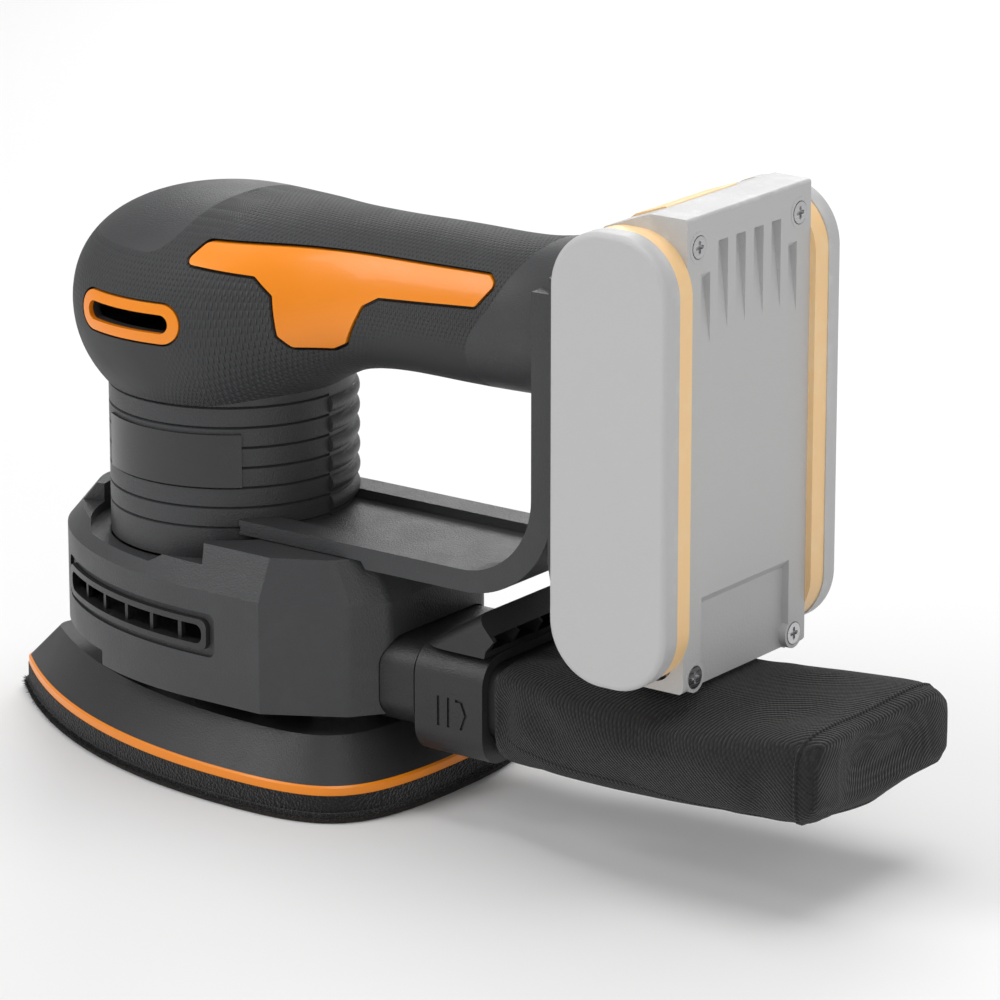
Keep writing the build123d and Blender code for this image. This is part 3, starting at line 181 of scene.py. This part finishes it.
def fill_grain(w, ins):
    coords = w.place()[0]
    fine = w.noise(coords, ins["Grains per metre"], 2.0, 0.6)
    broad = w.noise(coords, 90.0, 2.0)
    height = w.math("MULTIPLY", w.math("SUBTRACT", fine, 0.5), ins["Depth"])
    return height, broad


moulded_grain = group("moulded_grain", {"Grains per metre": 2600.0, "Depth": 0.05},
                      {"Height": FLOAT, "Broad shade": FLOAT}, fill_grain)


def fill_wear(w, ins):
    coords = w.place()[0]
    edge = w.add("ShaderNodeNewGeometry").outputs["Pointiness"]
    sharp = w.ramp(edge, 0.54, w.math("ADD", 0.54, ins["Width"]))
    patch = w.ramp(w.noise(coords, 160.0, 4.0), 0.45, 0.7)
    drawn_out = w.add("ShaderNodeMapping", Vector=coords, Scale=(60, 900, 500)).outputs[0]
    scuff = w.add("ShaderNodeTexNoise", Vector=drawn_out, Scale=1.0, Detail=2.0).outputs[0]
    lines = w.math("MULTIPLY", w.ramp(scuff, 0.72, 0.8), w.ramp(w.noise(coords, 30.0, 1.0), 0.5, 0.7))
    return w.math("MULTIPLY", sharp, patch), lines


edge_wear = group("edge_wear", {"Width": 0.06}, {"Worn edges": FLOAT, "Scuffs": FLOAT}, fill_wear)


def fill_dust(w, ins):
    coords, _, _, z = w.place()
    up = w.add("ShaderNodeSeparateXYZ", Vector=w.add("ShaderNodeNewGeometry").outputs["Normal"]).outputs[2]
    facing = w.ramp(up, 0.35, 1.0)
    low = w.ramp(z, 0.0, ins["Top"], 1.0, 0.15)
    specks = w.ramp(w.noise(coords, 1500.0, 2.0), 0.5, 0.75, 0.35, 1.0)
    clouds = w.ramp(w.noise(coords, 45.0, 3.0), 0.35, 0.7)
    return (w.math("MULTIPLY", w.math("MULTIPLY", facing, low), w.math("MULTIPLY", specks, clouds)),)


settled_dust = group("settled_dust", {"Top": 0.09}, {"Dust": FLOAT}, fill_dust)


def fill_pips(w, ins):
    _, x, y, z = w.place()
    pitch = ins["Pitch"]
    turns = 2 * pi
    round_head = w.math("MULTIPLY", w.math("ARCTAN2", y, w.math("SUBTRACT", 0.004, x)), 0.0405)
    round_handle = w.math("MULTIPLY", w.math("ARCTAN2", w.math("SUBTRACT", z, 0.1325), y), 0.021)

    def rows(across, along):
        row = w.math("DIVIDE", along, pitch)
        shift = w.math("MULTIPLY", w.math("FLOORED_MODULO", w.math("FLOOR", row), 2.0), 0.5)
        a = w.math("SINE", w.math("MULTIPLY", w.math("ADD", w.math("DIVIDE", across, pitch), shift), turns))
        b = w.math("SINE", w.math("MULTIPLY", w.math("FRACT", row), pi))
        return w.math("MULTIPLY", w.ramp(a, -0.2, 0.9), b)

    head, handle = rows(round_head, z), rows(x, round_handle)
    side = w.ramp(x, 0.012, 0.022)
    on_head = w.math("MULTIPLY", head, w.math("SUBTRACT", 1.0, side))
    return (w.math("ADD", on_head, w.math("MULTIPLY", handle, side)),)


grip_pips = group("grip_pips", {"Pitch": 0.0013}, {"Height": FLOAT}, fill_pips)


def fill_twill(w, ins):
    coords, x, y, z = w.place()
    waver = w.math("MULTIPLY", w.math("SUBTRACT", w.noise(coords, 220.0, 1.0), 0.5), ins["Waver"])
    slant = w.math("ADD", w.math("ADD", w.math("SUBTRACT", x, y), z), waver)
    rib = w.math("ABSOLUTE", w.math("SINE", w.math("MULTIPLY", slant, w.math("DIVIDE", pi, ins["Pitch"]))))
    weft = w.math("ADD", w.math("SUBTRACT", x, z), y)
    cross = w.math("SINE", w.math("MULTIPLY", weft, w.math("DIVIDE", 2 * pi, ins["Pitch"])))
    threads = w.math("MULTIPLY_ADD", cross, 0.18, rib)
    return threads, w.ramp(w.noise(coords, 900.0, 3.0), 0.3, 0.75)


twill_weave = group("twill_weave", {"Pitch": 0.0013, "Waver": 0.00025},
                    {"Height": FLOAT, "Fibre": FLOAT}, fill_twill)


class Finish:
    """One material: a Principled shader with a bump of summed heights."""

    def __init__(self, name, base, rough, **plain):
        self.material = bpy.data.materials.new(name)
        self.material.use_nodes = True
        self.material.diffuse_color = (*base, 1)
        self.w = Wiring(self.material.node_tree)
        self.shader = self.material.node_tree.nodes["Principled BSDF"]
        self.base, self.rough = base, rough
        self.colour, self.roughness, self.heights = None, None, []
        self.shader.inputs["Base Color"].default_value = (*base, 1)
        self.shader.inputs["Roughness"].default_value = rough
        for key, value in plain.items():
            self.shader.inputs[key.replace("_", " ")].default_value = value

    def use(self, tree, **values):
        node = self.w.add("ShaderNodeGroup", {"node_tree": tree})
        for key, value in values.items():
            self.w.put(node.inputs[key.replace("_", " ")], value)
        return node.outputs

    def tint(self, mask, colour, amount=1.0):
        """Mix colour in where mask is high."""
        mix = self.w.add("ShaderNodeMix", {"data_type": "RGBA"})
        self.w.put(mix.inputs["Factor"], self.w.math("MULTIPLY", mask, amount, clamp=True))
        self.w.put(mix.inputs[6], self.colour or (*self.base, 1))
        self.w.put(mix.inputs[7], (*colour, 1))
        self.colour = mix.outputs[2]
        return self

    def shade(self, mask, low, high):
        """Vary roughness from low to high with mask."""
        self.roughness = self.w.ramp(mask, 0.25, 0.75, low, high)
        return self

    def bump(self, height, depth, distance=0.001):
        self.heights.append((height, depth, distance))
        return self

    def done(self):
        if self.colour:
            self.w.put(self.shader.inputs["Base Color"], self.colour)
        if self.roughness:
            self.w.put(self.shader.inputs["Roughness"], self.roughness)
        normal = None
        for height, depth, distance in self.heights:
            node = self.w.add("ShaderNodeBump", Height=height, Strength=depth, Distance=distance)
            if normal:
                self.w.put(node.inputs["Normal"], normal)
            normal = node.outputs["Normal"]
        if normal:
            self.w.put(self.shader.inputs["Normal"], normal)
        return self.material


def lighter(colour, factor):
    return tuple(min(1.0, c * factor) for c in colour)


def moulded(name, base, rough, grain=2600.0, grain_depth=0.35, wear=0.07, dust=0.03, **plain):
    """Moulded plastic or rubber: fine grain, broad shade, worn edges, scuffs, a little dust."""
    finish = Finish(name, base, rough, **plain)
    grain_out = finish.use(moulded_grain, Grains_per_metre=grain, Depth=1.0)
    worn = finish.use(edge_wear)
    finish.tint(grain_out["Broad shade"], lighter(base, 1.15), 0.15)
    finish.tint(worn["Worn edges"], lighter(base, 2.4), wear)
    finish.tint(worn["Scuffs"], lighter(base, 1.5), wear * 0.5)
    finish.tint(finish.use(settled_dust)["Dust"], (0.42, 0.34, 0.25), dust)
    finish.shade(grain_out["Broad shade"], rough - 0.03, rough + 0.04)
    finish.bump(grain_out["Height"], grain_depth, 0.00035)
    return finish


charcoal = (0.043, 0.044, 0.0465)
orange = (0.95, 0.27, 0.004)
smooth_spots = (((-6, -41, 113), 10, 26, (0.8, 0.5, 1.2)), ((80, -20, 118), 8, 20, (0.45, 1, 1.3)))


def rubber_grip():
    finish = moulded("rubber_grip", (0.036, 0.037, 0.039), 0.62, grain=3200.0, grain_depth=0.25,
                     wear=0.07, dust=0.05)
    w = finish.w
    covered = None
    for centre, inner, outer, squash in smooth_spots:
        clear = w.math("SUBTRACT", 1.0, w.ball(centre, inner, outer, squash))
        covered = w.math("MULTIPLY", covered, clear) if covered else clear
    pips = w.math("MULTIPLY", finish.use(grip_pips)["Height"], covered)
    finish.bump(pips, 0.85, 0.0006)
    # painted highlight: the raised pip tops are drawn lighter in colour, on top of their bump
    finish.tint(pips, (0.07, 0.071, 0.075), 0.5)
    return finish.done()


def metal(name, base, rough, streaks=(40, 40, 2600), metallic=1.0):
    finish = Finish(name, base, rough, Metallic=metallic)
    coords = finish.w.place()[0]
    mapped = finish.w.add("ShaderNodeMapping", Vector=coords, Scale=streaks).outputs[0]
    lines = finish.w.noise(mapped, 1.0, 3.0)
    broad = finish.use(moulded_grain)["Broad shade"]
    finish.tint(broad, lighter(base, 0.7), 0.6)
    finish.shade(lines, rough - 0.1, rough + 0.15)
    finish.bump(lines, 0.15, 0.0002)
    return finish.done()


def abrasive():
    finish = Finish("abrasive_grit", (0.05, 0.035, 0.028), 0.85)
    cells = finish.w.add("ShaderNodeTexVoronoi", Vector=finish.w.place()[0], Scale=2800.0)
    finish.tint(finish.w.ramp(cells.outputs["Distance"], 0.2, 0.6), (0.015, 0.011, 0.01), 0.9)
    finish.bump(cells.outputs["Distance"], 1.0, 0.0005)
    return finish.done()


def fuzzy(name, base, strands=1800.0):
    finish = Finish(name, base, 0.95, Sheen_Weight=0.15, Sheen_Roughness=0.5)
    cells = finish.w.add("ShaderNodeTexVoronoi", Vector=finish.w.place()[0], Scale=strands)
    finish.tint(finish.w.ramp(cells.outputs["Distance"], 0.3, 0.0), lighter(base, 3.0), 0.7)
    finish.bump(cells.outputs["Distance"], 1.0, 0.0008)
    return finish.done()


def bag_twill():
    finish = Finish("bag_twill", (0.004, 0.004, 0.0044), 0.9, Sheen_Weight=0.12, Sheen_Roughness=0.4)
    weave = finish.use(twill_weave)
    # painted highlight: the raised twill threads are drawn lighter in colour, on top of their bump
    finish.tint(weave["Height"], (0.012, 0.012, 0.013), 0.8)
    finish.tint(weave["Fibre"], (0.03, 0.03, 0.031), 0.2)
    finish.tint(finish.use(settled_dust, Top=0.2)["Dust"], (0.3, 0.25, 0.2), 0.02)
    finish.shade(weave["Fibre"], 0.8, 0.95)
    finish.bump(weave["Height"], 0.8, 0.0004)
    return finish.done()


def coil_wire():
    finish = Finish("coil_wire", (0.55, 0.17, 0.06), 0.3, Metallic=1.0)
    _, x, y, z = finish.w.place()
    strands = finish.w.math("SINE", finish.w.math("MULTIPLY", finish.w.math("ADD", z, x), 9000.0))
    # painted shade: the grooves between the wire turns are drawn darker in colour, on top of their bump
    finish.tint(finish.w.ramp(strands, -1.0, 0.0, 1.0, 0.0), (0.16, 0.04, 0.02), 0.8)
    finish.bump(strands, 0.7, 0.0003)
    return finish.done()


def circuit():
    finish = Finish("circuit_green", (0.012, 0.11, 0.04), 0.35, Coat_Weight=0.4)
    cells = finish.w.add("ShaderNodeTexVoronoi", {"distance": "MANHATTAN"},
                         Vector=finish.w.place()[0], Scale=500.0)
    finish.tint(finish.w.ramp(cells.outputs["Distance"], 0.25, 0.3, 1.0, 0.0), (0.55, 0.5, 0.35), 0.8)
    finish.bump(cells.outputs["Distance"], 0.4, 0.0003)
    return finish.done()


finishes = {
    "charcoal_plastic": moulded("charcoal_plastic", charcoal, 0.46, grain=1900.0, grain_depth=0.5).done(),
    "rubber_grip": rubber_grip(),
    "orange_plastic": moulded("orange_plastic", orange, 0.34, grain=3800.0, grain_depth=0.12, wear=0.1,
                              dust=0.08, Coat_Weight=0.15).done(),
    "badge_plastic": moulded("badge_plastic", (0.014, 0.014, 0.015), 0.25, grain_depth=0.08,
                             Coat_Weight=0.3).done(),
    "black_plastic": moulded("black_plastic", (0.022, 0.022, 0.023), 0.4, grain=2200.0,
                             grain_depth=0.4).done(),
    "circuit_board": circuit(),
    "bright_steel": metal("bright_steel", (0.62, 0.62, 0.63), 0.28),
    "dark_steel": metal("dark_steel", (0.16, 0.16, 0.165), 0.38),
    "magnet_ferrite": moulded("magnet_ferrite", (0.05, 0.05, 0.055), 0.6, grain=900.0).done(),
    "carbon": moulded("carbon", (0.025, 0.025, 0.026), 0.55, grain=1500.0).done(),
    "copper_wire": coil_wire(),
    "abrasive_sheet": abrasive(),
    "hook_fabric": fuzzy("hook_fabric", (0.016, 0.016, 0.017)),
    "pad_foam": fuzzy("pad_foam", (0.009, 0.009, 0.0095), 1400.0),
    "rubber_black": moulded("rubber_black", (0.018, 0.018, 0.019), 0.7).done(),
    "bag_cloth": bag_twill(),
    "contact_brass": metal("contact_brass", (0.75, 0.52, 0.22), 0.3),
    "battery_grey": moulded("battery_grey", (0.53, 0.53, 0.53), 0.5, grain=1700.0, grain_depth=0.3,
                            wear=0.15, dust=0.05).done(),
    "battery_band": moulded("battery_band", (1.0, 0.66, 0.33), 0.45, grain=2600.0, grain_depth=0.15,
                            wear=0.1, dust=0.05).done(),
    "cell_steel": metal("cell_steel", (0.4, 0.44, 0.5), 0.35),
}
slot_of = {part["node"]: part["material_slot"] for part in frame["record"]["subparts"]}
for name, obj in nodes.items():
    obj.data.materials.clear()
    obj.data.materials.append(finishes[slot_of[name]])


# ---- dust bag ---------------------------------------------------------------------------------------
def link(name, mesh, material, body):
    obj = bpy.data.objects.new(name, mesh)
    bpy.context.scene.collection.objects.link(obj)
    if material:
        obj.data.materials.clear()
        obj.data.materials.append(material)
    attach(obj, body)
    return obj


def rounded_ring(x, half_w, z0, z1, corner, count):
    """Points of a rounded rectangle across the tool at x, even round its outline."""
    half_h, mid = (z1 - z0) / 2, (z0 + z1) / 2
    points = []
    for n in range(count):
        a = 2 * pi * (n + 0.5) / count
        c, s = cos(a), sin(a)
        reach = (abs(c) ** corner + abs(s) ** corner) ** (-1 / corner)
        points.append(Vector((x, half_w * reach * c, mid + half_h * reach * s)))
    return points


def tube_mesh(name, rings, cap_start=True, cap_end=True):
    mesh = bpy.data.meshes.new(name)
    bm = bmesh.new()
    loops = [[bm.verts.new(p) for p in ring] for ring in rings]
    count = len(rings[0])
    for a, b in zip(loops, loops[1:]):
        for n in range(count):
            bm.faces.new((a[n], a[(n + 1) % count], b[(n + 1) % count], b[n]))
    if cap_start:
        bm.faces.new(list(reversed(loops[0])))
    if cap_end:
        bm.faces.new(loops[-1])
    bmesh.ops.recalc_face_normals(bm, faces=bm.faces)
    bm.to_mesh(mesh)
    bm.free()
    for face in mesh.polygons:
        face.use_smooth = True
    return mesh


(bag_x0, _, bag_z0), (bag_x1, _, bag_z1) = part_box("dust_bag")
bag_x0 += 0.0003
bag_sections = (        # share of length, half width, bottom, top
    (0.0, 0.0226, 0.0184, 0.0455), (0.06, 0.0236, 0.0182, 0.0455), (0.2, 0.0275, 0.0190, 0.0455),
    (0.4, 0.0300, 0.0200, 0.0455), (0.6, 0.0312, 0.0212, 0.0460), (0.8, 0.0322, 0.0225, 0.0470),
    (0.93, 0.0322, 0.0238, 0.0480), (1.0, 0.0312, 0.0262, 0.0462))
bag_squareness, bag_steps_round, bag_steps_along = 6.5, 72, 22
voxel, held_length, furthest_move, cloth_frames = 0.0038, 0.006, 0.006, 20


def bag_ring_at(share):
    for a, b in zip(bag_sections, bag_sections[1:]):
        if share <= b[0]:
            t = (share - a[0]) / (b[0] - a[0])
            return [p + (q - p) * t for p, q in zip(a[1:], b[1:])]
    return bag_sections[-1][1:]


def bag_limit(p):
    """Keep a bag point clear of the collar, the hood and the battery above it."""
    top = 0.0462 if p.x < 0.113 else 0.0498 if p.x < 0.173 else 0.0535
    low = 0.0165
    side = min(0.0241 + max(0.0, p.x - bag_x0) * 0.6, 0.0375)
    return Vector((min(max(p.x, bag_x0), bag_x1 + 0.002), min(max(p.y, -side), side),
                   min(max(p.z, low), top)))


def inflate(obj):
    """Voxel remesh, cloth under gentle pressure, and a cap on how far any point moves."""
    remesh = obj.modifiers.new("remesh", "REMESH")
    remesh.mode, remesh.voxel_size = "VOXEL", voxel
    apply_modifiers(obj)
    start = [v.co.copy() for v in obj.data.vertices]
    held = obj.vertex_groups.new(name="held")
    held.add([v.index for v in obj.data.vertices if v.co.x < bag_x0 + held_length], 1.0, "REPLACE")
    cloth = obj.modifiers.new("cloth", "CLOTH")
    cloth.settings.use_pressure = True
    cloth.settings.uniform_pressure_force = 4.0
    cloth.settings.vertex_group_mass = "held"
    cloth.settings.effector_weights.gravity = 0.0
    cloth.settings.tension_stiffness = cloth.settings.compression_stiffness = 14.0
    cloth.settings.bending_stiffness = 0.6
    cloth.point_cache.frame_start, cloth.point_cache.frame_end = 1, cloth_frames
    for step in range(1, cloth_frames + 1):
        bpy.context.scene.frame_set(step)
    apply_modifiers(obj)
    bpy.context.scene.frame_set(1)
    for vertex, before in zip(obj.data.vertices, start):
        move = vertex.co - before
        if move.length > furthest_move:
            vertex.co = before + move * (furthest_move / move.length)


def apply_modifiers(obj):
    shaped = bpy.data.meshes.new_from_object(obj.evaluated_get(bpy.context.evaluated_depsgraph_get()))
    obj.modifiers.clear()
    old, obj.data = obj.data, shaped
    bpy.data.meshes.remove(old)
    for face in obj.data.polygons:
        face.use_smooth = True


bag_length = bag_x1 - bag_x0
shares = [0.0, 0.03, 0.06] + [0.06 + 0.94 * n / bag_steps_along for n in range(1, bag_steps_along + 1)]
bag_mesh = tube_mesh("bag_cloth", [rounded_ring(bag_x0 + bag_length * s, *bag_ring_at(s),
                                                bag_squareness, bag_steps_round) for s in shares])
bag = link("bag_cloth", bag_mesh, None, "bag")
inflate(bag)

folds = (        # x, y, z of a fold's middle (mm), direction, half length, width, depth
    ((106, -24, 33), (0.25, 0.0, 1.0), 12, 2.2, -1.3), ((113, -28, 31), (0.5, 0, 1), 10, 3.0, 1.0),
    ((120, -30, 36), (1.0, 0.0, -0.4), 16, 2.4, -0.9), ((150, -31, 27), (1.0, 0.0, 0.22), 26, 3.0, -0.8),
    ((176, -32, 38), (1.0, 0.0, -0.25), 22, 3.2, 0.8), ((190, -32, 30), (0.6, 0.0, 1.0), 11, 2.6, -1.0),
    ((190, -15, 50), (0.3, 1.0, 0.0), 16, 3.5, -1.2), ((180, 12, 50), (0.8, 0.6, 0.0), 20, 3.5, 0.9),
    ((206, -10, 38), (0.0, 1.0, 0.35), 15, 3.0, -1.2), ((206, 14, 36), (0.0, 1.0, -0.5), 14, 3.0, -1.0),
    ((106, 24, 33), (0.25, 0.0, 1.0), 12, 2.2, -1.3), ((130, 30, 32), (1.0, 0.0, 0.3), 20, 2.8, -0.9),
    ((168, 32, 36), (1.0, 0.0, -0.2), 24, 3.0, -0.9), ((150, 0, 20), (1.0, 0.3, 0.0), 24, 4.0, -0.9),
    ((207, 0, 35), (0.0, 1.0, 0.0), 27, 6.0, -2.6), ((203, -32, 24), (0.0, 0.0, 1.0), 9, 2.6, 1.8),
    ((203, 32, 24), (0.0, 0.0, 1.0), 9, 2.6, 1.8), ((200, 0, 24), (0.0, 1.0, 0.0), 22, 4.5, 2.2),
    ((110, -8, 46), (1.0, -0.4, 0.0), 12, 2.4, -0.8), ((112, 10, 46), (1.0, 0.5, 0.0), 12, 2.4, -0.8),
)


def crease(obj):
    subdivide = obj.modifiers.new("finer", "SUBSURF")
    subdivide.levels = subdivide.render_levels = 1
    apply_modifiers(obj)
    normals = [v.normal.copy() for v in obj.data.vertices]
    for vertex, normal in zip(obj.data.vertices, normals):
        lift = 0.0
        for centre, direction, half, width, depth in folds:
            away = vertex.co * 1000 - Vector(centre)
            along = Vector(direction).normalized()
            run = away.dot(along)
            off = (away - along * run).length
            if abs(run) < half and off < 3 * width:
                fade = 0.5 + 0.5 * cos(pi * run / half)
                lift += depth * fade * (1 - (off / (3 * width)) ** 2) ** 2 * (1.2 if off < width else 1.0)
        vertex.co = bag_limit(vertex.co + normal * lift / 1000)


crease(bag)
bag.data.materials.clear()
bag.data.materials.append(finishes["bag_cloth"])
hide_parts("dust_bag")

skin = BVHTree.FromPolygons([v.co for v in bag.data.vertices], [f.vertices for f in bag.data.polygons])


def on_bag(origin, direction, lift=0.0):
    """The outermost bag surface point from origin along direction."""
    far = Vector(origin) + Vector(direction).normalized() * 0.2
    hit, normal, _, _ = skin.ray_cast(far, -Vector(direction).normalized())
    return hit + normal * lift if hit else None


def cord_mesh(name, points, radius, closed=False, sides=8):
    """A round cord along points."""
    rings, count = [], len(points)
    for n, point in enumerate(points):
        ahead = points[(n + 1) % count] if closed else points[min(n + 1, count - 1)]
        behind = points[n - 1] if closed or n else point
        along = (ahead - behind).normalized()
        side = along.cross(Vector((0.1, 0.2, 1))).normalized()
        rim = side.cross(along)
        rings.append([point + (side * cos(2 * pi * k / sides) + rim * sin(2 * pi * k / sides)) * radius
                      for k in range(sides)])
    if closed:
        rings.append(rings[0])
    mesh = tube_mesh(name, rings, not closed, not closed)
    bm = bmesh.new()
    bm.from_mesh(mesh)
    bmesh.ops.remove_doubles(bm, verts=bm.verts, dist=1e-6)
    bm.to_mesh(mesh)
    bm.free()
    return mesh


seam_x = bag_x1 - 0.0055
mid_z = 0.0365
turns = [2 * pi * n / 120 for n in range(120)]
rim_points = [on_bag((seam_x, 0, mid_z), (0, cos(a), sin(a)), -0.0001) for a in turns]
rim_points = [p for p in rim_points if p]
link("bag_rear_piping", cord_mesh("bag_rear_piping", rim_points, 0.0006, closed=True),
     finishes["bag_cloth"], "bag")
seam_start, seam_length, seam_steps = bag_x0 + 0.006, seam_x - bag_x0 - 0.007, 60
for name, y, z in (("left", -1, -0.42), ("right", 1, -0.42)):
    run = [on_bag((seam_start + seam_length * n / seam_steps, 0, mid_z), (0, y, z), -0.0002)
           for n in range(seam_steps + 1)]
    run = [p for p in run if p]
    link(f"bag_seam_{name}", cord_mesh(f"bag_seam_{name}", run, 0.0005),
         finishes["bag_cloth"], "bag")


# ---- loose hook fibres round the pad's edge ------------------------------------------------------------
def edge_fibres(name, node, count, reach, z_low, z_high):
    """Short tapered fibres standing out of a layer's rim, each a three-sided spike."""
    rng = random.Random(41)
    rim = BVHTree.FromPolygons([v.co for v in nodes[node].data.vertices],
                               [f.vertices for f in nodes[node].data.polygons])
    bm = bmesh.new()
    for n in range(count):
        a = 2 * pi * (n + rng.random()) / count
        z = rng.uniform(z_low, z_high)
        out = Vector((cos(a), sin(a), 0))
        hit, normal, _, _ = rim.ray_cast(Vector((0, 0, z)) + out * 0.2, -out)
        if hit is None:
            continue
        stray = Vector((rng.uniform(-0.6, 0.6), rng.uniform(-0.6, 0.6), rng.uniform(-0.7, 0.5)))
        lean = (normal + stray).normalized()
        tip = hit + lean * reach * rng.uniform(0.5, 1.0)
        side = lean.cross(Vector((0, 0, 1))).normalized() * 0.00013
        up = side.cross(lean).normalized() * 0.00013
        base = [bm.verts.new(hit - normal * 0.0002 + side * cos(t) + up * sin(t)) for t in (0, 2.1, 4.2)]
        top = bm.verts.new(tip)
        for k in range(3):
            bm.faces.new((base[k], base[(k + 1) % 3], top))
        bm.faces.new(base[::-1])
    mesh = bpy.data.meshes.new(name)
    bm.to_mesh(mesh)
    bm.free()
    return link(name, mesh, finishes["hook_fabric"], "pad")


(_, _, hook_z0), (_, _, hook_z1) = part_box("hook_layer")
edge_fibres("hook_fibres", "hook_layer", 4200, 0.0019, hook_z0 + 0.0001, hook_z1 - 0.0001)

# ---- floor ------------------------------------------------------------------------------------------
floor_mesh = bpy.data.meshes.new("floor")
reach, below = 6, -0.0002
floor_mesh.from_pydata([(x * reach, y * reach, below) for x, y in ((-1, -1), (1, -1), (1, 1), (-1, 1))],
                       [], [(0, 1, 2, 3)])
floor = bpy.data.objects.new("floor", floor_mesh)
bpy.context.scene.collection.objects.link(floor)
floor_finish = Finish("pale_floor", (0.88, 0.88, 0.88), 0.75)
floor_shade = floor_finish.w.noise(floor_finish.w.place()[0], 3.0, 2.0)
floor_finish.tint(floor_shade, (0.84, 0.84, 0.84), 0.5)
floor.data.materials.append(floor_finish.done())
